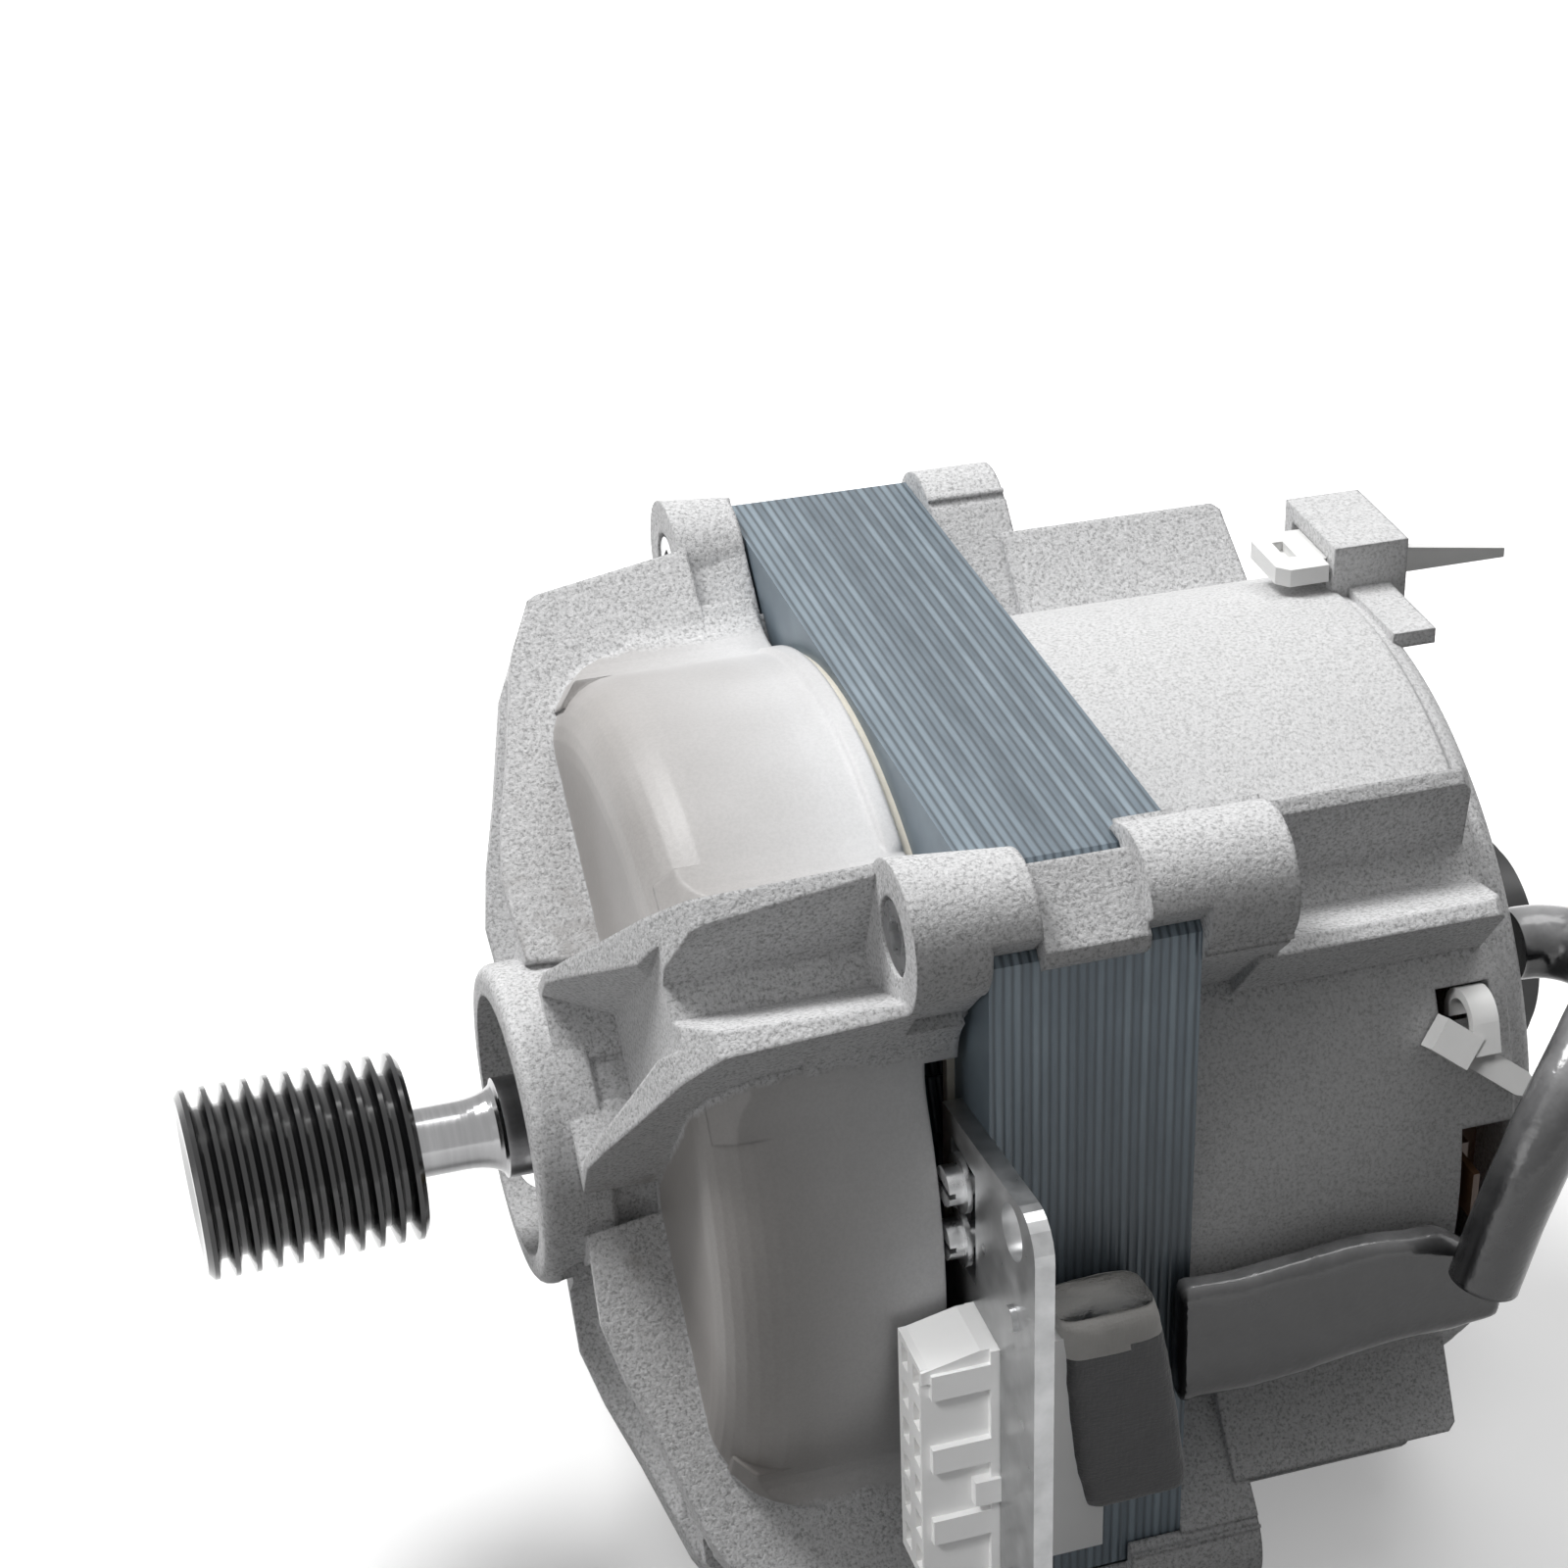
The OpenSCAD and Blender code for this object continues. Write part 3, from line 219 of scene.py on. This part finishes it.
def shell_mask(t, c, y, z, front):
    u = math_node(t, "ABSOLUTE", mul(t, add(t, y, z), DIAGONAL))
    w = math_node(t, "ABSOLUTE", mul(t, sub(t, z, y), DIAGONAL))
    across = math_node(t, "MINIMUM", u, w)
    along = math_node(t, "MAXIMUM", u, w)
    arm_edge = add(t, ARM_HALF, mul(t, sub(t, ARM_END, along), ARM_TAPER))
    wobble = sway(t, noise_tex(t, c, 260, 2), SKIN_WAVE)
    shell = remap(t, add(t, sub(t, across, arm_edge), wobble), *SKIN_EDGE)
    if not front:
        return mul(t, shell, REAR_SHELL)
    radius = math_node(t, "SQRT", add(t, math_node(t, "POWER", y, 2), math_node(t, "POWER", z, 2)))
    return mul(t, shell, remap(t, radius, *HUB_EDGE))


def cast_material(name, tint, shell_tint, front):
    m, t, b = new_material(name)
    c = coords(t)
    x, y, z = separate(t, c)
    shell = shell_mask(t, c, y, z, front)
    grain = noise_tex(t, c, 2400, 3, 0.7)
    grit = noise_tex(t, c, 1300, 2, 0.5)
    cloud = noise_tex(t, c, 60, 4)
    pits = remap(t, noise_tex(t, c, 1000, 2, 0.5), 0.64, 0.72)
    bright = tuple(min(v, BRIGHTEST) for v in dim(tint, 1.2))
    rough = ramp(t, grain, [(0.36, dim(tint, 0.5)), (0.48, dim(tint, 0.86)), (0.62, tint), (0.75, bright)])
    rough = mix_color(t, mul(t, pits, 0.45), rough, dim(tint, 0.5))
    smooth = ramp(t, cloud, [(0.3, dim(shell_tint, 0.86)), (0.7, shell_tint)])
    smooth = mix_color(t, 0.35, smooth, ramp(t, grain, [(0.38, dim(shell_tint, 0.8)), (0.6, shell_tint)]))
    if front:
        # Painted shade and painted reflection: the front shell's smooth skin turns darker and browner
        # towards the front rim
        front_shade = add(t, remap(t, x, *FRONT_SHADE_X), sway(t, noise_tex(t, c, 28, 2), 0.9))
        front_shaded_skin = mix_color(t, 1.0, smooth, FRONT_SHADE_TINT, "MULTIPLY")
        smooth = mix_color(t, mul(t, front_shade, 0.9, clamp=True), front_shaded_skin, smooth)
    link(t, mix_color(t, shell, rough, smooth), b.inputs["Base Color"])
    b.inputs["IOR"].default_value = 1.4
    link(t, remap(t, shell, 0, 1, 0.6, 0.4), b.inputs["Roughness"])
    relief = add(t, mul(t, grain, 0.5), mul(t, grit, 0.5))
    calm = remap(t, shell, 0, 1, 1.0, 0.18)
    bump(t, b, mul(t, relief, calm), 0.00030, 0.75, edge=0.0007)
    return m


put("front_shield", cast_material("cast_front", (0.68, 0.68, 0.685), (0.66, 0.66, 0.665), True))
put("rear_shield", cast_material("cast_rear", (0.67, 0.67, 0.675), (0.66, 0.66, 0.66), False))


# Stacked sheet edges: each sheet has its own tone, with a dark line where two meet.
# Halfway up the sides, the sheets are darker: painted shade, where the bracket and boot shade them

SHEET_PITCH = 0.00103
# Where the painted shade on the sides fades out, and its colour
SIDE_SHADE_ABOVE = (0.034, 0.004)
SIDE_SHADE_BELOW = (-0.034, -0.006)
SEAM_COLOR = (0.035, 0.048, 0.06)
SIDE_SHADE_COLOR = (0.012, 0.016, 0.020)


def lamination_material(name):
    m, t, b = new_material(name)
    c = coords(t)
    x, _, z = separate(t, c)
    wave = sway(t, noise_tex(t, scaled(t, c, (1, 0.25, 0.25)), 120, 2), 0.12)
    place = add(t, math_node(t, "DIVIDE", x, SHEET_PITCH), wave)
    tone = t.nodes.new("ShaderNodeTexWhiteNoise")
    tone.noise_dimensions = "1D"
    link(t, math_node(t, "FLOOR", place), tone.inputs["W"])
    off_middle = math_node(t, "ABSOLUTE", sub(t, math_node(t, "FRACT", place), 0.5))
    seam = remap(t, off_middle, 0.20, 0.47)
    wear = noise_tex(t, scaled(t, c, (1, 0.2, 0.2)), 420, 4, 0.6)
    fac = add(t, mul(t, tone.outputs[0], 0.34), mul(t, wear, 0.62))
    col = ramp(t, fac, [(0.22, (0.105, 0.135, 0.16)), (0.42, (0.155, 0.195, 0.23)),
                        (0.6, (0.20, 0.25, 0.29)), (0.8, (0.28, 0.34, 0.39))])
    col = mix_color(t, mul(t, seam, 0.8), col, SEAM_COLOR)
    # Painted shade: the sheets darken towards the middle of the sides
    side_shade = mul(t, remap(t, z, *SIDE_SHADE_ABOVE), remap(t, z, *SIDE_SHADE_BELOW))
    col = mix_color(t, mul(t, side_shade, 0.62), col, SIDE_SHADE_COLOR)
    link(t, col, b.inputs["Base Color"])
    b.inputs["Metallic"].default_value = 0.1
    b.inputs["Roughness"].default_value = 0.45
    bump(t, b, sub(t, mul(t, fac, 0.3), seam), 0.00012, 0.8)
    return m


# Plain metal and plastic, with a fine noise in colour and roughness

def metal(name, color, rough, grain, spread, metallic=1.0, height=0.00003, stretch=None):
    m, t, b = new_material(name)
    c = coords(t)
    if stretch:
        c = scaled(t, c, stretch)
    n = noise_tex(t, c, grain)
    link(t, ramp(t, n, [(0.3, dim(color, 1 - spread)), (0.7, color)]), b.inputs["Base Color"])
    b.inputs["Metallic"].default_value = metallic
    link(t, remap(t, n, 0.3, 0.7, rough * 0.8, rough * 1.25), b.inputs["Roughness"])
    bump(t, b, n, height, 0.6)
    return m


def plastic(name, color, rough, grain=700, spread=0.06, height=0.00004, coat=0.0):
    m, t, b = new_material(name)
    c = coords(t)
    n = noise_tex(t, c, grain)
    wide = noise_tex(t, c, 70, 3)
    col = ramp(t, n, [(0.3, dim(color, 1 - spread)), (0.7, color)])
    col = mix_color(t, remap(t, wide, 0.35, 0.75, 0.0, spread * 2), col, dim(color, 0.72))
    link(t, col, b.inputs["Base Color"])
    link(t, remap(t, wide, 0.3, 0.7, rough * 0.8, rough * 1.2), b.inputs["Roughness"])
    b.inputs["Coat Weight"].default_value = coat
    b.inputs["Coat Roughness"].default_value = 0.08
    bump(t, b, n, height, 0.7)
    return m


# Each material with the nodes that carry it
for material, names in (
    (lamination_material("stack_sheets"), "stator_stack rotor_stack"),
    (plastic("cream_insulation", (0.76, 0.72, 0.62), 0.5, grain=420, spread=0.12),
     "insulator_front insulator_rear"),
    (metal("enamelled_copper", (0.42, 0.17, 0.06), 0.34, grain=1500, spread=0.45, metallic=0.7,
           height=0.0002, stretch=(1, 0.15, 0.15)),
     "field_coil_upper field_coil_lower armature_winding"),
    (metal("zinc_screw", (0.66, 0.665, 0.67), 0.3, grain=700, spread=0.18),
     "clamp_screws bracket_screws brush_holder_screws"),
    (metal("ground_steel", (0.62, 0.63, 0.64), 0.2, grain=500, spread=0.1),
     "front_bearing_outer front_bearing_inner rear_bearing_outer rear_bearing_inner"),
    (metal("cage_brass", (0.62, 0.50, 0.27), 0.32, grain=800, spread=0.15),
     "front_bearing_balls rear_bearing_balls"),
    (metal("turned_shaft", (0.36, 0.36, 0.365), 0.17, grain=900, spread=0.22, height=0.00002,
           stretch=(1.0, 0.06, 0.06)),
     "rotor_shaft"),
    (metal("commutator_copper", (0.58, 0.28, 0.14), 0.3, grain=900, spread=0.3, height=0.00004,
           stretch=(0.06, 1, 1)),
     "commutator"),
    (plastic("fan_plastic", (0.62, 0.60, 0.54), 0.45, grain=300, spread=0.1), "rotor_fan"),
    (plastic("pulley_gloss_black", (0.010, 0.010, 0.011), 0.16, grain=500, spread=0.3,
             height=0.000004, coat=0.3),
     "pulley"),
    (plastic("phenolic_brown", (0.11, 0.055, 0.028), 0.4, grain=350, spread=0.3),
     "brush_holder_near brush_holder_far"),
    (plastic("carbon_brush", (0.045, 0.045, 0.048), 0.42, grain=1500, spread=0.3, height=0.00006),
     "brush_near brush_far"),
    (metal("spring_wire", (0.6, 0.61, 0.62), 0.25, grain=700, spread=0.1),
     "wave_washer brush_spring_near brush_spring_far"),
    (metal("sintered_magnet", (0.12, 0.12, 0.125), 0.5, grain=1200, spread=0.3, metallic=0.6),
     "tacho_magnet"),
    (plastic("taped_coil", (0.03, 0.03, 0.03), 0.55, grain=400, spread=0.2), "tacho_coil"),
    (plastic("black_cap", (0.022, 0.022, 0.023), 0.42, grain=300, spread=0.2), "tacho_cap"),
    (metal("zinc_sheet", (0.50, 0.505, 0.51), 0.34, grain=240, spread=0.34, metallic=0.85,
           height=0.00006),
     "connector_bracket"),
    (plastic("white_nylon", (0.93, 0.93, 0.925), 0.34, grain=220, spread=0.02), "connector_housing"),
    (metal("tinned_brass", (0.66, 0.52, 0.26), 0.3, grain=600, spread=0.15), "connector_terminals"),
    (plastic("white_tie", (0.82, 0.82, 0.81), 0.38, grain=300, spread=0.05),
     "cable_tie_top cable_tie_side"),
):
    for name in names.split():
        put(name, material)


# Black tape with a cross weave, and glossy vinyl with a painted highlight on what faces up

# The light grey of the painted highlight on the vinyl
UP_HIGHLIGHT_COLOR = (0.42, 0.42, 0.425)


def tape_material(name, color):
    m, t, b = new_material(name)
    c = coords(t)
    weave = add(t, noise_tex(t, scaled(t, c, (1, 1, 0.25)), 2600, 2),
                noise_tex(t, scaled(t, c, (0.25, 1, 1)), 2600, 2))
    wide = noise_tex(t, c, 90, 4)
    link(t, ramp(t, wide, [(0.3, dim(color, 0.7)), (0.72, color)]), b.inputs["Base Color"])
    b.inputs["Roughness"].default_value = 0.62
    b.inputs["Sheen Weight"].default_value = 0.25
    bump(t, b, add(t, weave, mul(t, wide, 2.0)), 0.0002, 0.6)
    return m


def vinyl_material(name, color, rough):
    m, t, b = new_material(name)
    c = coords(t)
    wide = noise_tex(t, c, 130, 4)
    fine = noise_tex(t, c, 900, 3)
    facing = separate(t, t.nodes.new("ShaderNodeNewGeometry").outputs["Normal"])
    # Painted highlight: faces that point up turn light grey
    up_highlight = mul(t, remap(t, facing[2], 0.2, 0.8), remap(t, wide, 0.3, 0.6, 0.25, 0.7))
    col = ramp(t, wide, [(0.3, dim(color, 0.7)), (0.7, color)])
    link(t, mix_color(t, up_highlight, col, UP_HIGHLIGHT_COLOR), b.inputs["Base Color"])
    link(t, remap(t, fine, 0.3, 0.7, rough * 0.8, rough * 1.3), b.inputs["Roughness"])
    b.inputs["Coat Weight"].default_value = 0.35
    b.inputs["Coat Roughness"].default_value = 0.1
    bump(t, b, add(t, wide, mul(t, fine, 0.12)), 0.0009, 0.5)
    return m


tape = tape_material("cloth_tape", (0.040, 0.040, 0.042))
# Pale tape for the boot's top: a painted reflection of the light
tape_sheen = tape_material("cloth_tape_painted_sheen", (0.60, 0.585, 0.56))
vinyl = vinyl_material("vinyl_sleeve", (0.022, 0.022, 0.024), 0.2)
inside = plastic("sleeve_inside", (0.01, 0.01, 0.01), 0.6)


# Mesh helpers

def mesh_object(name, verts, faces, material, smooth=True):
    me = bpy.data.meshes.new(name)
    me.from_pydata([tuple(v) for v in verts], [], faces)
    me.validate()
    o = bpy.data.objects.new(name, me)
    bpy.context.scene.collection.objects.link(o)
    me.materials.append(material)
    for p in me.polygons:
        p.use_smooth = smooth
    return o


def subdivide(o):
    mod = o.modifiers.new("sub", "SUBSURF")
    mod.levels = 1
    mod.render_levels = 1
    depsgraph = bpy.context.evaluated_depsgraph_get()
    me = bpy.data.meshes.new_from_object(o.evaluated_get(depsgraph))
    o.modifiers.clear()
    o.data = me


def wrinkle(o, amount, size, seed):
    me = o.data
    me.update()
    moves = []
    for v in me.vertices:
        p = v.co * (1 / size) + Vector((seed, seed * 0.7, 0))
        k = noise.noise(p) + 0.5 * noise.noise(p * 2.3)
        moves.append(v.normal * (k * amount))
    for v, d in zip(me.vertices, moves):
        v.co += d
    me.update()


# Quads between rings of n points, with a face over the first ring and one over the last.
# The one over the first is reversed for a sleeve whose rings turn right-handed along it
def closed_rings(rings, n, first_reversed):
    faces = [(i * n + k, i * n + (k + 1) % n, (i + 1) * n + (k + 1) % n, (i + 1) * n + k)
             for i in range(rings - 1) for k in range(n)]
    first = tuple(range(n))
    last = tuple((rings - 1) * n + k for k in range(n))
    return faces + ([first[::-1], last] if first_reversed else [first, last[::-1]])


# A section of n points between a circle, power 1, and a square, power 0
def rounded_section(n, power):
    out = []
    for k in range(n):
        a = 2 * math.pi * k / n
        ca, sa = math.cos(a), math.sin(a)
        out.append((math.copysign(abs(ca) ** power, ca), math.copysign(abs(sa) ** power, sa)))
    return out


def box_mm(name):
    lo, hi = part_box(name)
    return [v * 1000 for v in lo], [v * 1000 for v in hi]


# Puts a soft piece on the fixed body in place of its plain solid
def stand_in(piece, node):
    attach(piece, "frame")
    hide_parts(node)


# Flat sleeve: a puffed rounded section that narrows towards the rear, where its top drops

FLAT_STATIONS = 30
FLAT_POINTS = 28
FLAT_POWER = 0.62
SIDE_ROOM = 0.05
TOP_ROOM = 0.1
LOW_ROOM = 0.2
TOP_WAVE = 0.5
LOW_WAVE = 0.3
DROP_START = 0.80
DROP_SPAN = 0.20
DROP = 6.6
LIFT = 3.2

lo, hi = box_mm("harness_sleeve")
thick = (hi[1] - lo[1]) / 2 - SIDE_ROOM
yc = (hi[1] + lo[1]) / 2
verts = []
for i in range(FLAT_STATIONS):
    f = i / (FLAT_STATIONS - 1)
    x = lo[0] + (hi[0] - lo[0]) * f
    drop = max(0.0, f - DROP_START) / DROP_SPAN * DROP
    top = hi[2] - TOP_ROOM - drop - TOP_WAVE * math.sin(f * 9)
    low = lo[2] + LOW_ROOM + LIFT * f ** 1.3 + LOW_WAVE * math.sin(f * 11 + 1)
    mid = (top + low) / 2
    half = (top - low) / 2
    verts += [(x * MM, (yc + thick * c) * MM, (mid + half * s) * MM)
              for c, s in rounded_section(FLAT_POINTS, FLAT_POWER)]
sleeve = mesh_object("flat_sleeve", verts, closed_rings(FLAT_STATIONS, FLAT_POINTS, True), vinyl)
subdivide(sleeve)
wrinkle(sleeve, amount=0.00016, size=0.006, seed=2.0)
stand_in(sleeve, "harness_sleeve")


# Taped boot behind the connector, leaning like the cable under it, with a pale top that is a painted
# reflection.
# Each level is its place from top to bottom and the share of the full section. The levels go
# down, so its walls face inward

BOOT_POINTS = 36
BOOT_POWER = 0.36
BOOT_LEVELS = [(0.0, 0.72), (0.012, 0.9), (0.04, 0.985)]
BOOT_LEVELS += [(0.04 + 0.92 * i / 14, 1.0) for i in range(1, 14)]
BOOT_LEVELS += [(0.965, 0.985), (0.99, 0.93), (1.0, 0.8)]
BOOT_LEAN = 2.9
BOOT_STEP = 4.2
BOOT_FLARE = 4.1
BOOT_ROOM = 0.1
FRONT_BULGE = 0.5
BACK_BULGE = 0.3
# How far down the painted reflection on the boot's top reaches, and how it slopes
PATCH_DEPTH = 5.2
PATCH_SLOPE = 0.12

lo, hi = box_mm("connector_boot")
verts = []
for f, k in BOOT_LEVELS:
    z = hi[2] - BOOT_ROOM + (lo[2] - hi[2] + 2 * BOOT_ROOM) * f
    x0 = lo[0] + BOOT_ROOM + BOOT_LEAN * f - FRONT_BULGE * math.sin(math.pi * f)
    x1 = hi[0] - BOOT_STEP + BOOT_FLARE * min(1.0, f * 1.1) + BACK_BULGE * math.sin(math.pi * f)
    x0 = max(x0, lo[0] + BOOT_ROOM)
    x1 = min(x1, hi[0] - BOOT_ROOM)
    xc, xh = (x0 + x1) / 2, (x1 - x0) / 2 * (0.9 + 0.1 * k)
    yc, yh = (lo[1] + hi[1]) / 2, (hi[1] - lo[1]) / 2 * k - SIDE_ROOM
    verts += [((xc + xh * c) * MM, (yc + yh * s) * MM, z * MM)
              for c, s in rounded_section(BOOT_POINTS, BOOT_POWER)]
boot = mesh_object("tape_boot", verts, closed_rings(len(BOOT_LEVELS), BOOT_POINTS, False), tape)
boot.data.materials.append(tape_sheen)
subdivide(boot)
# Faces near the top take the pale tape, a painted reflection of the light
for p in boot.data.polygons:
    if p.center.z > (hi[2] - PATCH_DEPTH + (p.center.x * 1000 - lo[0]) * PATCH_SLOPE) * MM:
        p.material_index = 1
wrinkle(boot, amount=0.00022, size=0.0045, seed=5.0)
stand_in(boot, "connector_boot")


# Round sleeve: swept along the cable's own route, with a hollow lower end. The rim runs round the
# other way than the outside, so the faces between them still cross the mouth

SLEEVE_END = (29.9, -60.25)
BEND_RADIUS = 7.4
BEND_CENTRE = (5.4, 15.6)
BEND_HEIGHT = 24.6
SLEEVE_POINTS = 32
SLEEVE_RADIUS = 4.22
RIM_RADIUS = 4.0
RIM_DEPTH = 0.02
ROUTE_STEPS = 6
# Depth and radius of the rings of the hollow, from its end to the mouth
HOLLOW = ((3.2, 3.2), (1.2, 3.35), (0.1, 3.5))

route = [(-7.4, 0, -4.4), (-6.2, 0, 0), (-4.8, 0, 5), (-2.8, 0.2, 10.5), (-0.4, 1, 15.4),
         (2.8, 2.6, 19.6), (6.4, 5.4, 22.4), (10.2, 9.2, 24)]
route += [(BEND_CENTRE[0] + BEND_RADIUS * math.cos(math.radians(a)),
           BEND_CENTRE[1] + BEND_RADIUS * math.sin(math.radians(a)), BEND_HEIGHT)
          for a in range(-18, 91, 18)]
route += [(4.3, 23, BEND_HEIGHT)]
route = [Vector((SLEEVE_END[0] + x, SLEEVE_END[1] + y, z)) for x, y, z in route]


# A curve through all points, with some steps between each two of them
def smooth_path(points, steps):
    out = []
    last = len(points) - 1
    for i in range(last):
        p0, p1, p2, p3 = (points[min(max(i + k, 0), last)] for k in (-1, 0, 1, 2))
        for k in range(steps):
            s = k / steps
            out.append(0.5 * ((2 * p1) + (p2 - p0) * s + (2 * p0 - 5 * p1 + 4 * p2 - p3) * s * s
                              + (3 * p1 - p0 - 3 * p2 + p3) * s ** 3))
    out.append(points[-1])
    return out


def swept_rings(path, radii, n):
    start = (path[1] - path[0]).normalized()
    side = start.cross(Vector((0, 1, 0.02))).normalized()
    out = []
    for i, p in enumerate(path):
        tangent = (path[min(i + 1, len(path) - 1)] - path[max(i - 1, 0)]).normalized()
        side = (side - tangent * side.dot(tangent)).normalized()
        other = tangent.cross(side)
        for k in range(n):
            a = 2 * math.pi * k / n
            out.append((p + (side * math.cos(a) + other * math.sin(a)) * radii[i]) * MM)
    return out


path = smooth_path(route, ROUTE_STEPS)
mouth = (path[1] - path[0]).normalized()
hollow = [path[0] + mouth * depth for depth, radius in HOLLOW]
outside = [path[0] + mouth * RIM_DEPTH] + path
verts = swept_rings(hollow, [radius for depth, radius in HOLLOW], SLEEVE_POINTS)
verts += swept_rings(outside, [RIM_RADIUS] + [SLEEVE_RADIUS] * len(path), SLEEVE_POINTS)
faces = closed_rings(len(verts) // SLEEVE_POINTS, SLEEVE_POINTS, False)
tube = mesh_object("round_sleeve", verts, faces, vinyl)
tube.data.materials.append(inside)
hollow_walls = (len(HOLLOW) - 1) * SLEEVE_POINTS
hollow_end = len(tube.data.polygons) - 2
for i in [*range(hollow_walls), hollow_end]:
    tube.data.polygons[i].material_index = 1
wrinkle(tube, amount=0.00008, size=0.008, seed=7.0)
stand_in(tube, "harness_tube")


# Camera at the photograph's viewing place. The focal length and the picture's middle are in its pixels

PICTURE = 1600
FOCAL = 3391.32
MIDDLE_X, MIDDLE_Y = 1147.14, 1182.08
SENSOR = 36
YAW, PITCH, ROLL = 0.3776, 0.6161, 0.0241
VIEWPOINT = (-0.1267105, -0.3246713, 0.2244147)

ahead = Vector((math.sin(YAW) * math.cos(PITCH), math.cos(YAW) * math.cos(PITCH), -math.sin(PITCH)))
level = Vector((math.cos(YAW), -math.sin(YAW), 0))
up = level.cross(ahead)
right = level * math.cos(ROLL) + up * math.sin(ROLL)
over = -level * math.sin(ROLL) + up * math.cos(ROLL)
cam_data = bpy.data.cameras.new("camera")
cam_data.sensor_fit = "HORIZONTAL"
cam_data.sensor_width = SENSOR
cam_data.lens = FOCAL / PICTURE * SENSOR
cam_data.shift_x = (PICTURE / 2 - MIDDLE_X) / PICTURE
cam_data.shift_y = (MIDDLE_Y - PICTURE / 2) / PICTURE
cam = bpy.data.objects.new("camera", cam_data)
bpy.context.scene.collection.objects.link(cam)
cam.matrix_world = Matrix.Translation(VIEWPOINT) @ Matrix((right, over, -ahead)).transposed().to_4x4()
bpy.context.scene.camera = cam


# Floor: a dim ground that takes the shadow and glows white where the camera sees it, more so far out

FLOOR_DROP = 0.0004
FLOOR_HALF = 6
GROUND_DIM, GROUND_SEEN = 0.12, 0.8
GLOW_FROM, GLOW_TO = 0.14, 0.5
GLOW_NEAR = 0.3


def floor_material():
    m = bpy.data.materials.new("floor")
    m.use_nodes = True
    t = m.node_tree
    t.nodes.clear()
    out = t.nodes.new("ShaderNodeOutputMaterial")
    diffuse = t.nodes.new("ShaderNodeBsdfDiffuse")
    emission = t.nodes.new("ShaderNodeEmission")
    both = t.nodes.new("ShaderNodeAddShader")
    seen = seen_rays(t)
    link(t, mix_color(t, seen, GROUND_DIM, GROUND_SEEN), diffuse.inputs[0])
    far = t.nodes.new("ShaderNodeVectorMath")
    far.operation = "LENGTH"
    link(t, coords(t), far.inputs[0])
    glow = remap(t, far.outputs["Value"], GLOW_FROM, GLOW_TO, GLOW_NEAR, 1.0)
    link(t, mul(t, seen, glow), emission.inputs["Strength"])
    link(t, diffuse.outputs[0], both.inputs[0])
    link(t, emission.outputs[0], both.inputs[1])
    link(t, both.outputs[0], out.inputs[0])
    return m


floor_z = before[0][2] - FLOOR_DROP
corners = [(x * FLOOR_HALF, y * FLOOR_HALF, floor_z) for x, y in ((-1, -1), (1, -1), (1, 1), (-1, 1))]
mesh_object("floor", corners, [(0, 1, 2, 3)], floor_material(), smooth=False)


# World: white where the camera sees it, and otherwise a soft light from above

SKY_LOW, SKY_HIGH = 0.1, 1.0
SKY_STRENGTH = 0.40

world = bpy.data.worlds.new("studio")
bpy.context.scene.world = world
world.use_nodes = True
wt = world.node_tree
wt.nodes.clear()
world_out = wt.nodes.new("ShaderNodeOutputWorld")
background = wt.nodes.new("ShaderNodeBackground")
direction = separate(wt, wt.nodes.new("ShaderNodeTexCoord").outputs["Generated"])
sky = remap(wt, direction[2], SKY_LOW, SKY_HIGH, 0.0, SKY_STRENGTH)
link(wt, math_node(wt, "MAXIMUM", sky, seen_rays(wt)), background.inputs["Strength"])
background.inputs["Color"].default_value = (1, 1, 1, 1)
link(wt, background.outputs[0], world_out.inputs[0])


# Lamps

def lamp(name, place, target, watts, width, height):
    d = bpy.data.lights.new(name, "AREA")
    d.energy = watts
    d.shape = "RECTANGLE"
    d.size = width
    d.size_y = height
    o = bpy.data.objects.new(name, d)
    bpy.context.scene.collection.objects.link(o)
    o.location = place
    o.rotation_euler = (Vector(target) - Vector(place)).to_track_quat("-Z", "Y").to_euler()
    return o


lamp("key", (-0.42, 0.32, 0.88), (0, 0, 0), watts=9.4, width=0.38, height=0.38)
lamp("front", (-0.85, -0.30, 0.22), (-0.04, -0.04, 0), watts=0.75, width=0.35, height=0.35)
lamp("top", (0.28, 0.12, 1.0), (0, 0, 0), watts=3.4, width=0.5, height=0.5)
lamp("rim", (0.75, -0.45, 0.30), (0.03, -0.04, -0.01), watts=0.08, width=0.15, height=0.6)

# The shells shade the white nylon pieces, so these have a small lamp of their own
nylon = bpy.data.collections.new("white_nylon")
for name in ("connector_housing", "cable_tie_side"):
    nylon.objects.link(nodes[name])
nylon_fill = lamp("nylon_fill", (-0.34, -0.24, 0.42), (-0.04, -0.055, -0.01),
                  watts=1.5, width=0.12, height=0.12)
nylon_fill.light_linking.receiver_collection = nylon

bpy.context.scene.view_settings.view_transform = "Standard"
